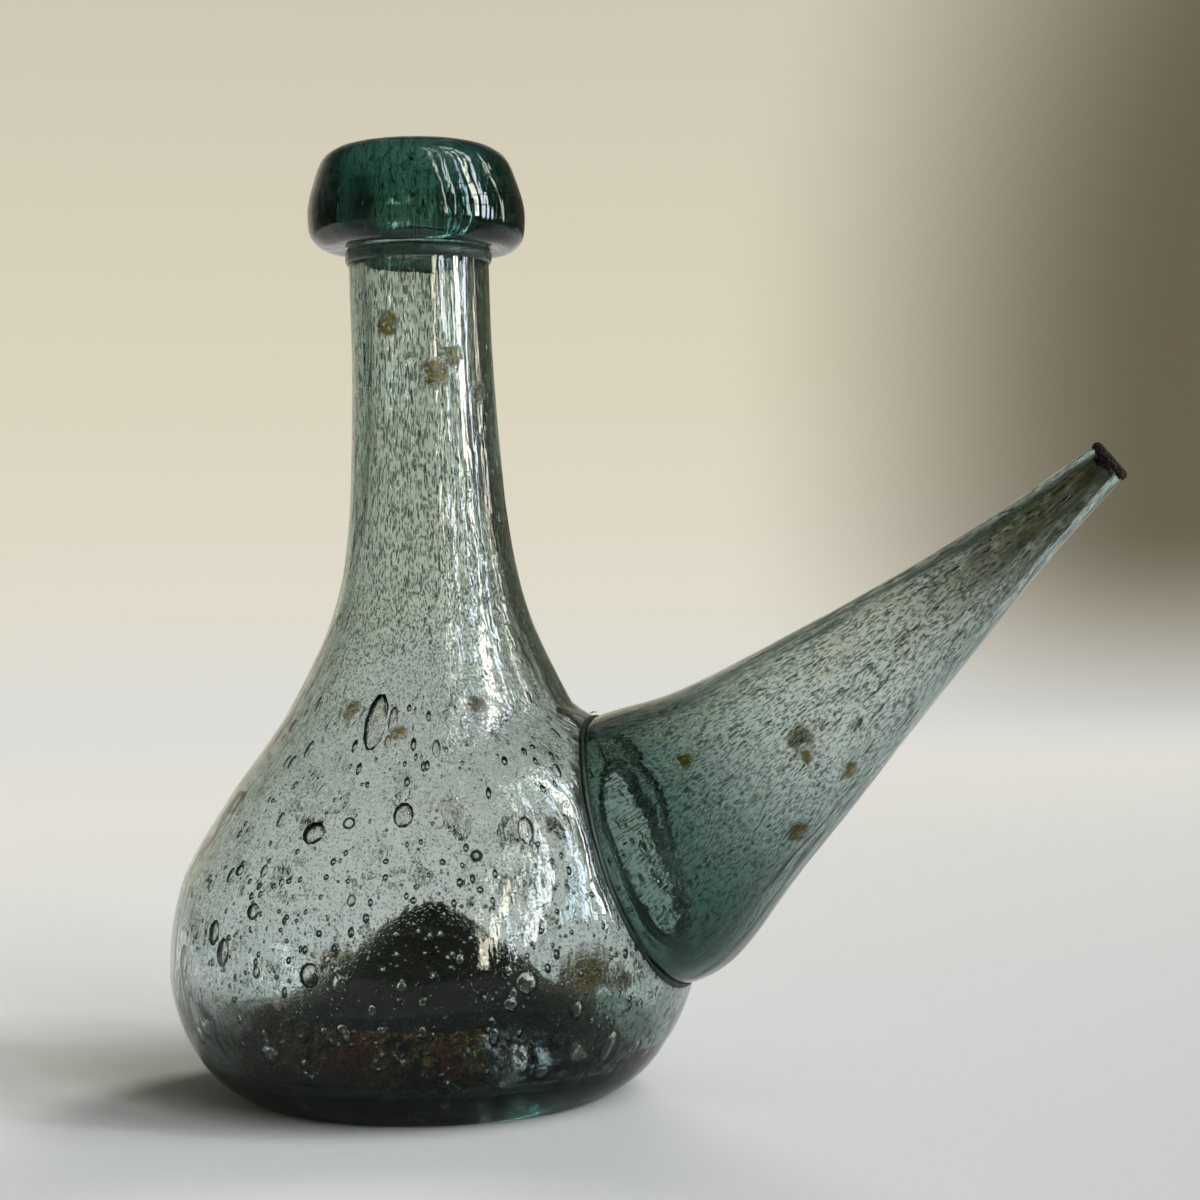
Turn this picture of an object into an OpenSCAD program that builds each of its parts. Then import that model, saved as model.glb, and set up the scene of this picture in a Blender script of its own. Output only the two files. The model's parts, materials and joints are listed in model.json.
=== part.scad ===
// Free-blown glass flask: a squat belly with a long neck and a pushed-up base,
// a heavy rolled collar at the mouth, and a tapering pouring spout welded to the shoulder.
// Millimetres, Z up. The origin is the centre of the ring that the flask stands on,
// and the spout points along +X, upwards.

/* [Belly] */
// Outer radius of the belly at its widest
belly_r = 63.5; // [61:0.5:66]
// Height of the widest part above the floor
belly_z = 31; // [28:0.5:34]
// Outer radius of the upper belly
upper_belly_r = 60.7; // [58.7:0.25:61.7]
// Height of the upper belly
upper_belly_z = 51; // [48:0.5:54]
// Outer radius of the shoulder
shoulder_r = 49.5; // [47.5:0.25:51]
// Height of the shoulder
shoulder_z = 72; // [69:0.5:75]
// Outer radius where the shoulder sweeps up into the neck
sweep_r = 34.2; // [32.2:0.25:36]
// Height of that sweep
sweep_z = 94.7; // [91.7:0.5:98]
// Wall at the belly
belly_wall = 2.4; // [2:0.1:3]
// Wall at the heel, just above the foot
heel_wall = 3.6; // [3:0.1:4.4]

/* [Neck] */
// Outer radius of the neck under the collar
neck_r = 17.3; // [16.5:0.1:18.3]
// Outer radius at the foot of the neck
neck_foot_r = 22.7; // [21.3:0.2:24.3]
// Height of the foot of the neck
neck_foot_z = 121; // [117:0.5:126]
// Wall of the neck
neck_wall = 3.8; // [3.2:0.1:4.4]

/* [Base] */
// Outer radius of the ring that the flask stands on
foot_r = 44.5; // [43:0.25:46.5]
// Width of that ring
foot_w = 4; // [3:0.25:5]
// Height of the pushed-up peak inside the belly
kick_h = 45; // [40:0.5:50]
// Fall of the peak's sides, as height over radius
kick_slope = 0.75; // [0.68:0.01:0.8]
// Blunting radius of the peak
kick_blunt = 6; // [4:0.5:8]
// Thickness of the glass at the peak
kick_wall = 5; // [4:0.25:6]
// Height of the inside gutter round the peak
gutter_z = 9; // [8:0.25:11]
// Radius of the inside gutter
gutter_r = 50; // [48.5:0.25:51]
// Outer radius of the scar left by the pontil rod
pontil_r = 9; // [7:0.5:11]
// Width of the scar's ring
pontil_w = 4; // [3:0.5:5]
// How far the scar stands out
pontil_t = 2.2; // [1.5:0.1:3]

/* [Collar] */
// Overall height of the flask
flask_h = 231; // [222:1:240]
// Largest outer radius of the collar
collar_r = 27; // [25:0.25:29]
// Height of the collar
collar_h = 26.6; // [24:0.2:30]
// Radius where the collar's flat top ends
collar_top_r = 16.5; // [15.8:0.1:18]
// Radius of the mouth's bore
mouth_r = 12.5; // [11.5:0.1:13]
// Rounding of the mouth's lip
lip_round = 2.5; // [1.5:0.1:3]
// Depth of glass above the end of the neck
collar_cover = 15; // [13:0.5:18]
// Height of the wrap under the collar
wrap_h = 4.5; // [3:0.25:6]
// How far the wrap stands out from the neck
wrap_t = 1.2; // [0.8:0.1:2]

/* [Spout] */
// Height of the middle of the flattened seat that the spout is welded to
seat_z = 57.6; // [56:0.2:59]
// How far that seat lies behind the belly's round
seat_sink = 5.1; // [4.4:0.1:5.8]
// Angle of the seat's axis, and of the port through it, above level
seat_tilt = 19; // [17:0.5:21]
// Radius of the seat
seat_r = 34.2; // [33.8:0.1:35]
// Angle of the spout above level
spout_tilt = 39.8; // [38:0.2:42]
// Length of the spout from its seat to the end of the glass
spout_len = 145.5; // [135.5:1:155.5]
// Outer radius of the spout's base
spout_base_r = 33.6; // [32.8:0.1:33.8]
// How far the spout's axis passes below the middle of the seat
spout_drop = 1.7; // [1:0.1:2.5]
// Outer radius of the spout's tip
spout_tip_r = 4.9; // [4.7:0.1:5.6]
// Radius of the bore at the tip
tip_bore_r = 3.2; // [2.8:0.1:3.4]
// Length of that bore
tip_bore_len = 5; // [4:0.5:7]
// Shape of the taper: 1 is a straight cone, more is trumpet-like
spout_flare = 1.28; // [1.2:0.01:1.4]
// Wall at the spout's base
spout_base_wall = 3.2; // [2.6:0.1:3.8]
// Wall along the spout's taper
spout_wall = 2; // [1.8:0.1:2.2]
// Radius of the port through the belly's wall
port_r = 21.5; // [20:0.25:22.5]
// Width of the lip round the port
port_lip_w = 2.6; // [2:0.1:3]
// Height of that lip above the seat
port_lip_h = 2.4; // [1.8:0.1:3]
// Size of the weld bead in the crease between the belly and the spout
seam_w = 1.4; // [1:0.1:2]

/* [Deposits] */
// Thickness of the dried residue in the gutter
residue_t = 0.7; // [0.5:0.05:1]
// Angle round the base at which the residue starts
residue_from = -160; // [-180:5:-120]
// Angle that the residue covers
residue_sweep = 105; // [60:5:120]
// Thickness of the crust on the spout's end
crust_t = 1.2; // [0.8:0.1:1.6]

/* [Hidden] */
$fn = 96;
glass = [0.45, 0.6, 0.56];
dark_glass = [0.06, 0.22, 0.2];
crust_brown = [0.16, 0.1, 0.05];

// How finely the outlines are drawn
curve_steps = 5;
spout_steps = 3;
// Stations of the heel, as shares of the way from the foot to the widest belly
heel_at = [[0.45, 0.19], [0.73, 0.42], [0.92, 0.7]];
// The neck is a true cylinder from this far under the collar up to its end
straight_neck = 8;
// The seat is the cut-off front of a ball that bulges from the belly: the depth of the
// ball's centre behind the seat, and how far back the ball is used
ball_depth = 41.8;
ball_back = 21;
// Wall of the ball, and the height under which the cavity has no bulge
ball_wall = 3;
ball_floor = 16;
// The spout's rolled-in base, as [cut in radius, distance along the axis]
roll = [[7.1, -16], [3.7, -11], [1.3, -6], [0, 2], [0.9, 10]];
// Stations along the spout's taper, as shares of its length
taper_at = [0.22, 0.32, 0.44, 0.57, 0.7, 0.84, 1];
// Enough to pass through a wall
through = 60;
// How far inside the gutter's bottom the peak's slope ends, and how far the residue reaches
gutter_w = 9;
residue_in = 6;

collar_z = flask_h - collar_h;
neck_end = flask_h - collar_cover;
// The collar's underside rises from its lower edge to the neck
collar_seat = collar_z + 1.6;
collar_edge_r = collar_r * 0.8;
function under_lip(r) =
    collar_seat - (collar_seat - collar_z) * (r - neck_r) / (collar_edge_r - neck_r);
wrap_z = collar_seat - wrap_h;

// ---------- curves ----------

// A curve through stations p, with end directions a and b, as n steps a span.
// Each span is a cubic whose length-weighted tangents keep it from overshooting.
function unit(v) = v / norm(v);
function span(p, i) = norm(p[i + 1] - p[i]);
function way(p, i) = (p[i + 1] - p[i]) / span(p, i);
function tangent(p, i, a, b) =
    i == 0 ? a
    : i == len(p) - 1 ? b
    : (way(p, i - 1) * span(p, i) + way(p, i) * span(p, i - 1)) / (span(p, i - 1) + span(p, i));
function cubic(p, q, m, k, t) =
    (2 * pow(t, 3) - 3 * t * t + 1) * p + (pow(t, 3) - 2 * t * t + t) * m
    + (3 * t * t - 2 * pow(t, 3)) * q + (pow(t, 3) - t * t) * k;
function smooth(p, a, b, n = curve_steps) = concat(
    [for (i = [0 : len(p) - 2], s = [0 : n - 1])
        cubic(p[i], p[i + 1], tangent(p, i, a, b) * span(p, i),
              tangent(p, i + 1, a, b) * span(p, i), s / n)],
    [p[len(p) - 1]]);

// The unit normal at point i of a curve, to the right of its direction
function right_of(p, i) =
    let (v = unit(p[min(i + 1, len(p) - 1)] - p[max(i - 1, 0)])) [v[1], -v[0]];
// A curve moved sideways by a distance for each point, positive to its right
function moved(p, by) = [for (i = [0 : len(p) - 1]) p[i] + right_of(p, i) * by[i]];
function all_of(p, value) = [for (q = p) value];
function reversed(p) = [for (i = [len(p) - 1 : -1 : 0]) p[i]];

// ---------- outlines of the flask, as [radius, height] ----------

up = [0, 1];
heel_curve = smooth(concat([[foot_r, 0]],
    [for (h = heel_at) [foot_r + (belly_r - foot_r) * h[0], belly_z * h[1]]],
    [[belly_r, belly_z]]), unit([1, 0.6]), up, 3);
neck_rise = collar_z - straight_neck - neck_foot_z;
upper_curve = smooth([
    [belly_r, belly_z], [upper_belly_r, upper_belly_z], [shoulder_r, shoulder_z],
    [sweep_r, sweep_z], [neck_foot_r, neck_foot_z],
    [neck_r + (neck_foot_r - neck_r) * 0.5, neck_foot_z + neck_rise * 0.2],
    [neck_r + (neck_foot_r - neck_r) * 0.18, neck_foot_z + neck_rise * 0.48],
    [neck_r, collar_z - straight_neck]], up, up);
outer_curve = concat([for (i = [0 : len(heel_curve) - 2]) heel_curve[i]],
                     upper_curve, [[neck_r, neck_end]]);

// Wall thickness by height
wall_by_height = [[0, heel_wall], [belly_z * 0.5, heel_wall], [belly_z, belly_wall],
    [shoulder_z, belly_wall], [neck_foot_z, (belly_wall + neck_wall) / 2],
    [neck_foot_z + neck_rise * 0.5, neck_wall], [flask_h, neck_wall]];
// The inner wall starts part of the way up the heel
wall_start = 6;
wall_side = [for (i = [wall_start : len(outer_curve) - 1]) outer_curve[i]];
inner_wall = moved(wall_side, [for (q = wall_side) -lookup(q[1], wall_by_height)]);

// The pushed-up peak is a blunt cone
kick_step = pontil_r / 2;
function kick_z(r) = kick_h - kick_slope * (sqrt(r * r + kick_blunt * kick_blunt) - kick_blunt);
function kick_way(r) = unit([1, -kick_slope * r / sqrt(r * r + kick_blunt * kick_blunt)]);
kick_edge = gutter_r - gutter_w;
kick_top = [for (i = [0 : floor(kick_edge / kick_step) - 1]) [i * kick_step, kick_z(i * kick_step)]];
gutter = smooth([[kick_edge, kick_z(kick_edge)], [gutter_r, gutter_z], inner_wall[0]],
                kick_way(kick_edge), unit(inner_wall[1] - inner_wall[0]));
inner_curve = concat(kick_top, gutter, [for (i = [1 : len(inner_wall) - 1]) inner_wall[i]]);

ring_in = foot_r - foot_w;
under_edge = 7 * kick_step;
function under_z(r) = kick_z(r) - kick_wall;
underside = concat(
    [for (i = [0 : 6]) [i * kick_step, under_z(i * kick_step)]],
    smooth([[under_edge, under_z(under_edge)], [ring_in - 2.6, gutter_z + 3.6], [ring_in, 0]],
           kick_way(under_edge), unit([1, -4])));

// ---------- outlines of the spout, as [radius, distance along its axis] ----------

function taper(f) = spout_tip_r + (spout_base_r - spout_tip_r) * pow(1 - f, spout_flare);
spout_outer = smooth(concat(
    [for (q = roll) [spout_base_r - q[0], q[1]]],
    [for (f = taper_at) [taper(f), f * spout_len]]),
    unit([1, 1.2]), unit([-1, 9]), spout_steps);
bore_from = spout_len - tip_bore_len;
spout_wall_at = [[roll[0][1], spout_base_wall], [spout_len * 0.1, spout_base_wall],
    [spout_len * 0.4, spout_wall], [spout_len, spout_wall]];
spout_inner = [for (q = moved(spout_outer, [for (q = spout_outer) -lookup(q[1], spout_wall_at)]))
    if (q[0] > tip_bore_r + 0.4 && q[1] < bore_from - 2) q];

// The seat's place, and the radius of the ball that it is cut from
seat_x = lookup(seat_z, [for (q = upper_curve) [q[1], q[0]]]) - seat_sink;
ball_r = norm([seat_r, ball_depth]);

// ---------- building blocks ----------

module turned(outline) {
    rotate_extrude() polygon(outline);
}

module on_seat() {
    translate([seat_x, 0, seat_z]) rotate([0, 90 - seat_tilt, 0]) children();
}

module on_spout_axis() {
    on_seat() translate([spout_drop, 0, 0]) rotate([0, seat_tilt - spout_tilt, 0]) children();
}

// The bulge behind the seat, grown by a distance
module seat_ball(grow = 0) {
    on_seat() intersection() {
        translate([0, 0, -ball_depth]) sphere(r = ball_r + grow);
        translate([0, 0, -ball_back]) cylinder(r = 2 * ball_r, h = ball_back + grow);
    }
}

// Everything inside the flask's outer surface, grown by a distance
module flask_envelope(grow = 0) {
    skin = moved(outer_curve, all_of(outer_curve, grow));
    turned(concat([[0, skin[0][1]]], skin, [[0, neck_end]]));
    seat_ball(grow);
}

// Everything inside the spout's outer surface, grown by a distance
module spout_envelope(grow = 0) {
    skin = moved(spout_outer, all_of(spout_outer, grow));
    on_spout_axis() turned(concat([[0, skin[0][1]]], skin, [[0, skin[len(skin) - 1][1]]]));
}

// ---------- sub-parts ----------

// Belly, neck and pushed-up base, blown as one bubble, with the port for the spout
module flask_body() {
    color(glass)
    difference() {
        union() {
            turned(concat(underside, outer_curve, [[0, neck_end]]));
            seat_ball();
        }
        turned(concat(inner_curve, [[inner_curve[len(inner_curve) - 1][0], neck_end + 1],
                                    [0, neck_end + 1]]));
        intersection() {
            seat_ball(-ball_wall);
            translate([0, -belly_r, ball_floor]) cube(2 * belly_r);
        }
        on_seat() translate([0, 0, -through / 3]) cylinder(r = port_r, h = through);
    }
}

// Heavy lip of dark glass, rolled over the end of the neck
module collar() {
    lip = [for (i = [0 : 6])
        let (a = 15 * i)
            [mouth_r + lip_round * (1 - cos(a)), flask_h - lip_round * (1 - sin(a))]];
    outside = smooth([
        [collar_top_r, flask_h], [collar_r * 0.84, flask_h - collar_h * 0.12],
        [collar_r * 0.957, flask_h - collar_h * 0.41], [collar_r, collar_z + collar_h * 0.25],
        [collar_r * 0.95, collar_z + collar_h * 0.085], [collar_edge_r, collar_z]],
        [1, 0], unit([-1, 0.05]));
    color(dark_glass)
    turned(concat([[mouth_r, neck_end]], lip, outside,
                  [[neck_r, collar_seat], [neck_r, neck_end]]));
}

// Thread of glass wrapped round the neck, where the collar was fused on
module neck_wrap() {
    top = neck_r + wrap_t;
    bead = [for (i = [0 : 6])
        let (a = 15 * i)
            [neck_r + wrap_t * cos(a), under_lip(top) - (under_lip(top) - wrap_z) * sin(a)]];
    color(dark_glass)
    turned(concat([[neck_r, collar_seat]], bead));
}

// Tapering bubble of glass, opened at both ends and pressed on to the shoulder
module spout() {
    last = spout_inner[len(spout_inner) - 1];
    color(glass)
    difference() {
        spout_envelope();
        on_spout_axis() turned(concat(
            [[0, spout_inner[0][1] - 1], [spout_inner[0][0], spout_inner[0][1] - 1]], spout_inner,
            [[tip_bore_r, bore_from], [tip_bore_r, spout_len + 1], [0, spout_len + 1]]));
        flask_envelope();
    }
}

// Bead that fills the crease between the belly and the spout
module spout_weld() {
    color(dark_glass)
    difference() {
        intersection() {
            spout_envelope(seam_w);
            flask_envelope(seam_w);
        }
        spout_envelope();
        flask_envelope();
    }
}

// Raised edge of glass that was pushed out when the port was pierced
module port_lip() {
    color(glass)
    difference() {
        intersection() {
            flask_envelope(port_lip_h);
            on_seat() translate([0, 0, -through / 4])
                cylinder(r = port_r + port_lip_w, h = through);
        }
        on_seat() translate([0, 0, -through / 3]) cylinder(r = port_r, h = 2 * through);
        flask_envelope();
    }
}

// Rough ring of glass left under the peak by the pontil rod
module pontil_scar() {
    hole_r = pontil_r - pontil_w;
    color(dark_glass)
    turned([[hole_r, under_z(kick_step) + (under_z(pontil_r) - under_z(kick_step))
                     * (hole_r - kick_step) / kick_step],
            [pontil_r, under_z(pontil_r)],
            [pontil_r - 0.8, under_z(pontil_r) - pontil_t],
            [hole_r + 0.8, under_z(pontil_r) - pontil_t + 0.6]]);
}

// Dried residue that lies in the gutter, on the side away from the spout
module base_residue() {
    bed = [for (q = gutter) if (q[0] > gutter_r - residue_in) q];
    top = moved(bed, [for (i = [0 : len(bed) - 1]) -residue_t * sin(180 * i / (len(bed) - 1))]);
    color(crust_brown)
    rotate([0, 0, residue_from]) rotate_extrude(angle = residue_sweep)
        polygon(concat(bed, [for (i = [len(bed) - 2 : -1 : 1]) top[i]]));
}

// Dark crust on the broken-off end of the spout
module tip_crust() {
    crust_r = tip_bore_r + 0.4;
    color(crust_brown)
    on_spout_axis() turned([
        [crust_r, spout_len], [spout_tip_r, spout_len],
        [spout_tip_r - 0.1, spout_len + crust_t * 0.7],
        [spout_tip_r - 0.6, spout_len + crust_t], [crust_r, spout_len + crust_t]]);
}

flask_body();
collar();
neck_wrap();
spout();
spout_weld();
port_lip();
pontil_scar();
base_residue();
tip_crust();
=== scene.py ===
# %% [markdown]
# Some of the dark on the pushed-up peak is painted shade as well as dirt.
# # A free-blown pouring flask
# The object is a hand-blown flask of cheap grey-green glass, full of small bubbles, which a
# glassmaker calls seeds. A bubble of glass was blown to a squat belly with a long neck, its base
# was pushed up, a heavy collar was rolled over the mouth, and a second, drawn-out bubble was
# pressed on to the shoulder as a spout. This script dresses the imported model, which is a frame
# of exact solids, with glass that has real walls, real bubbles and the dirt of long use.
# Everything is in metres in the model's own frame; the sizes below are written in millimetres.

# %% Load the imported model
import json
import math
import bpy
import bmesh
import numpy as np
from mathutils import Matrix, Vector, noise

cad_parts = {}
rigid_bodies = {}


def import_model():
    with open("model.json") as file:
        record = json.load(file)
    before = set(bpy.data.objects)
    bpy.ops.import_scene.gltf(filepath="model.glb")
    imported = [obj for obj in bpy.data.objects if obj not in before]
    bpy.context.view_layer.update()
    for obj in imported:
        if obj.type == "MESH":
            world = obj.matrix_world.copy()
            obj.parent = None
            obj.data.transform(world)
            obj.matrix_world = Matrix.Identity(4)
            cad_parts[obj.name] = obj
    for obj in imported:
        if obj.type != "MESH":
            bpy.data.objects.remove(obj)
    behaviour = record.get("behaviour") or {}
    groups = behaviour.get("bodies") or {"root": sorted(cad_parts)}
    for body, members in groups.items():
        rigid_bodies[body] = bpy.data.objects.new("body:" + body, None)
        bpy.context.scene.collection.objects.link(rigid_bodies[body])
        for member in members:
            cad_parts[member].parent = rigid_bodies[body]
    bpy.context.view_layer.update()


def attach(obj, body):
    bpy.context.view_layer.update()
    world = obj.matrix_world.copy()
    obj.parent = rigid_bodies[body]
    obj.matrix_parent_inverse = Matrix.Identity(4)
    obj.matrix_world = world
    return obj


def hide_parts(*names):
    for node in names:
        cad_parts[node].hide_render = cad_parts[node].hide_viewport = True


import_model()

# %% [markdown]
# ## Camera
# The photograph was taken level with the neck, from the front and a little to the left, with a
# mild telephoto lens and a slight lean. The lens and place were fitted to the flask's outline.
# Glass needs long light paths: each wall is two surfaces, and a line of sight through the spout,
# the belly and the pushed-up base crosses more than twenty.

# %% Camera and light paths
MM = 0.001
camera_data = bpy.data.cameras.new("camera")
camera_data.lens = 70.8
camera_data.sensor_width = 36
camera = bpy.data.objects.new("camera", camera_data)
camera.location = (0.19136, -0.54919, 0.119)
camera.rotation_euler = (Matrix.Rotation(math.radians(15), 3, "Z")
                         @ Matrix.Rotation(math.radians(90), 3, "X")
                         @ Matrix.Rotation(math.radians(-0.9), 3, "Z")).to_euler()
bpy.context.scene.collection.objects.link(camera)
bpy.context.scene.camera = camera
bpy.context.scene.view_settings.view_transform = "Standard"
paths = bpy.context.scene.cycles
paths.max_bounces = 40
paths.transmission_bounces = 40
paths.glossy_bounces = 10
paths.diffuse_bounces = 3
paths.transparent_max_bounces = 16
print("camera", tuple(round(v, 3) for v in camera.location))

# %% [markdown]
# ## Helpers
# One helper turns a paint colour into the linear value that light is reckoned in, and one adds a
# node with its settings and links. A third closes a grid of points into a skin.

# %% Helpers for colours, nodes and skins
def paint(code):
    parts = [int(code[i:i + 2], 16) / 255 for i in (1, 3, 5)]
    return [c / 12.92 if c <= 0.04045 else ((c + 0.055) / 1.055) ** 2.4 for c in parts] + [1.0]


def put(tree, kind, sockets=None, **settings):
    """Adds a node. A socket takes a value, another node's socket, or a node's first output."""
    n = tree.nodes.new(kind)
    for key, value in settings.items():
        setattr(n, key, value)
    for key, value in (sockets or {}).items():
        if isinstance(value, bpy.types.Node):
            value = value.outputs[0]
        if isinstance(value, bpy.types.NodeSocket):
            tree.links.new(value, n.inputs[key])
        else:
            n.inputs[key].default_value = value
    return n


def unit(v):
    v = np.asarray(v, float)
    return v / np.linalg.norm(v, axis=-1, keepdims=True)


def curve_through(stations, start, end, steps=8):
    """A smooth curve through stations, with the directions at its two ends."""
    p = [np.array(s, float) for s in stations]
    span = [np.linalg.norm(q - r) for r, q in zip(p, p[1:])]
    way = [(q - r) / s for r, q, s in zip(p, p[1:], span)]
    lean = [unit(start)] + [(way[i - 1] * span[i] + way[i] * span[i - 1]) / (span[i - 1] + span[i])
                            for i in range(1, len(p) - 1)] + [unit(end)]
    out = []
    for i in range(len(span)):
        for t in np.arange(steps) / steps:
            out.append((2 * t**3 - 3 * t * t + 1) * p[i] + (t**3 - 2 * t * t + t) * lean[i] * span[i]
                       + (3 * t * t - 2 * t**3) * p[i + 1] + (t**3 - t * t) * lean[i + 1] * span[i])
    return np.array(out + [p[-1]])


def even(points, pitch):
    """The same curve with points about one pitch apart."""
    length = np.concatenate([[0], np.cumsum(np.linalg.norm(np.diff(points, axis=0), axis=1))])
    want = np.linspace(0, length[-1], max(2, round(length[-1] / pitch) + 1))
    return np.stack([np.interp(want, length, points[:, k]) for k in range(points.shape[1])], 1)


def across(points):
    """Unit normals of a curve in (radius, height), to the right of its direction."""
    v = unit(np.gradient(points, axis=0))
    return np.stack([v[:, 1], -v[:, 0]], 1)


def skin(name, rings, loop=False):
    """A closed mesh from rings of points in millimetres. A ring of one point is a pole, and
    loop joins the last ring to the first, as for a tyre."""
    verts, start = [], []
    for ring in rings:
        start.append(len(verts))
        verts.extend(ring)
    faces = []
    pairs = list(zip(range(len(rings) - 1), range(1, len(rings))))
    if loop:
        pairs.append((len(rings) - 1, 0))
    for a, b in pairs:
        n, m = len(rings[a]), len(rings[b])
        for i in range(max(n, m)):
            j = (i + 1) % max(n, m)
            if n == 1:
                faces.append((start[a], start[b] + j, start[b] + i))
            elif m == 1:
                faces.append((start[a] + i, start[a] + j, start[b]))
            else:
                faces.append((start[a] + i, start[a] + j, start[b] + j, start[b] + i))
    mesh = bpy.data.meshes.new(name)
    mesh.from_pydata([tuple(c * MM for c in v) for v in verts], [], faces)
    work = bmesh.new()
    work.from_mesh(mesh)
    bmesh.ops.recalc_face_normals(work, faces=work.faces)
    work.to_mesh(mesh)
    work.free()
    mesh.shade_smooth()
    return mesh


def show(name, mesh, *materials):
    thing = bpy.data.objects.new(name, mesh)
    bpy.context.scene.collection.objects.link(thing)
    for m in materials:
        mesh.materials.append(m)
    return thing


def lumps(x, y, z, scale, seed):
    """Soft unevenness from -1 to 1; scale is the size of a lump in millimetres, per axis."""
    out = np.empty(np.shape(x))
    for i, (a, b, c) in enumerate(zip(np.ravel(x), np.ravel(y), np.ravel(z))):
        out.flat[i] = noise.noise(Vector((a / scale[0] + seed, b / scale[1], c / scale[2])))
    return out


print("white paint is", [round(c, 3) for c in paint("#FFFFFF")])

# %% [markdown]
# ## Outline of the blown body
# On the real flask the outline came from blowing, swinging and jacking the neck, so it is one
# smooth curve. It is written here as a few stations with a curve through them, the same as the
# model's. The inner outline follows at the wall's thickness, thin at the belly and thick at the
# neck and heel, and the base is pushed up to a blunt peak.

# %% Outline of the body
UP = (0, 1)
heel = curve_through([(44.5, 0), (53.05, 5.89), (58.37, 13.02), (61.98, 21.7), (63.5, 31)],
                     (1, 0.6), UP)
rise = curve_through([(63.5, 31), (60.7, 51), (49.5, 72), (34.2, 94.7), (22.7, 121),
                      (20.0, 136.08), (18.27, 157.19), (17.3, 196.4)], UP, UP)
NECK_END = 205.95          # the collar starts here
outer_line = np.vstack([heel[:-1], rise, [(17.3, NECK_END)]])
wall = np.interp(outer_line[:, 1], [0, 15.5, 31, 72, 121, 158.7, 231],
                 [3.6, 3.6, 2.4, 2.4, 3.1, 3.8, 3.8])
inner_side = (outer_line - across(outer_line) * wall[:, None])[np.argmax(outer_line[:, 1] > 12.0):]
inner_side[-1, 1] = NECK_END


def peak(r):
    return 46 - 0.75 * (np.sqrt(r * r + 22) - 4.7)


slope = np.arange(0, 41, 2.0)
gutter = curve_through([(41, peak(41.0)), (50, 9), tuple(inner_side[0])], (1, -0.742),
                       inner_side[1] - inner_side[0])
inner_line = np.vstack([np.stack([slope, peak(slope)], 1), gutter[:-1], inner_side])
below = np.arange(0, 31.5, 3.5)
under_line = np.vstack([np.stack([below, peak(below) - 5], 1),
                        curve_through([(31.5, peak(31.5) - 5), (37.9, 12.6), (40.5, 0.9)],
                                      (1, -0.736), (1, -4))])
foot = np.array([(40.75, 0.3), (41.3, 0.05), (42.3, 0), (43.4, 0), (44.3, 0.12), (44.95, 0.45)])
outer_line = outer_line[np.argmax(outer_line[:, 0] > 45.4):]
print("body outline", len(outer_line), "stations, wall", wall.min(), "to", wall.max(), "mm")

# %% [markdown]
# ## The seat of the spout
# To weld the spout on, the hot shoulder was pressed to a soft flat. The flat is the cut-off front
# of a ball that bulges from the belly, and the two forms flow into each other, as hot glass does.
# `reach` gives how far the outer skin lies from the neck's axis, for any direction and height.

# %% How far the skin reaches
SEAT = np.array([52.8475, 0.0, 57.6])                 # middle of the flat
SEAT_TILT = math.radians(19)
SEAT_R, BALL_DEPTH = 34.2, 41.8
NORMAL = np.array([math.cos(SEAT_TILT), 0.0, math.sin(SEAT_TILT)])
BALL = SEAT - BALL_DEPTH * NORMAL
BALL_R = math.hypot(SEAT_R, BALL_DEPTH)


def meld(a, b, soft):
    """The larger of two values, with a soft change from one to the other."""
    h = np.clip(soft - np.abs(a - b), 0, None) / soft
    return np.maximum(a, b) + h * h * soft / 4


def bulge(cos_a, z, inset):
    """Where a level ray from the axis leaves the ball with its flat front, or 0."""
    b = BALL[0] * cos_a
    room = b * b - BALL[0] ** 2 - (z - BALL[2]) ** 2 + (BALL_R - inset) ** 2
    ball = np.where(room > 0, b + np.sqrt(np.clip(room, 0, None)), 0)
    flat = (SEAT[0] - inset / NORMAL[0] + (SEAT[2] - z) * NORMAL[2] / NORMAL[0])
    flat = np.where(cos_a > 0.05, flat / np.clip(cos_a, 0.05, None), 1e3)
    return np.where(z > 13, np.clip(np.minimum(ball, flat), 0, None), 0)


def reach(radius, cos_a, z, inset=0.0):
    return meld(radius, bulge(cos_a, z, inset), 3.0)


outer_by_height = np.array(sorted(outer_line.tolist(), key=lambda p: p[1]))


def clear_of_body(points):
    """Distance outside the body's skin, measured level from the neck's axis."""
    x = points[..., 0] - lean(points[..., 2])
    r = np.hypot(x, points[..., 1])
    radius = np.interp(points[..., 2], outer_by_height[:, 1], outer_by_height[:, 0])
    return r - reach(radius, x / np.maximum(r, 1e-9), points[..., 2])


def lean(z):
    """The neck stands a little off the belly's axis, as on a piece made by eye."""
    return np.interp(z, [0, 55, 85, 125, 150, 180, 206, 231], [0, 0, 1.1, 1.3, 0.7, 0, -0.7, -1.0])


print("seat ball radius", round(BALL_R, 2), "mm")

# %% [markdown]
# ## The body's skin
# The outline is turned to rings, each ring is pushed out to the seat, and both skins get a hand's
# unevenness of a few tenths of a millimetre. That is little to measure and much to see: it is the
# wandering of the wall that makes old glass swim when you look through it. Long streaks run up
# the neck, because the lumps were stretched with the glass.

# %% Turn the outline
AROUND = 128
turn = np.arange(AROUND) * 2 * math.pi / AROUND
cos_t, sin_t = np.cos(turn), np.sin(turn)


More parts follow.
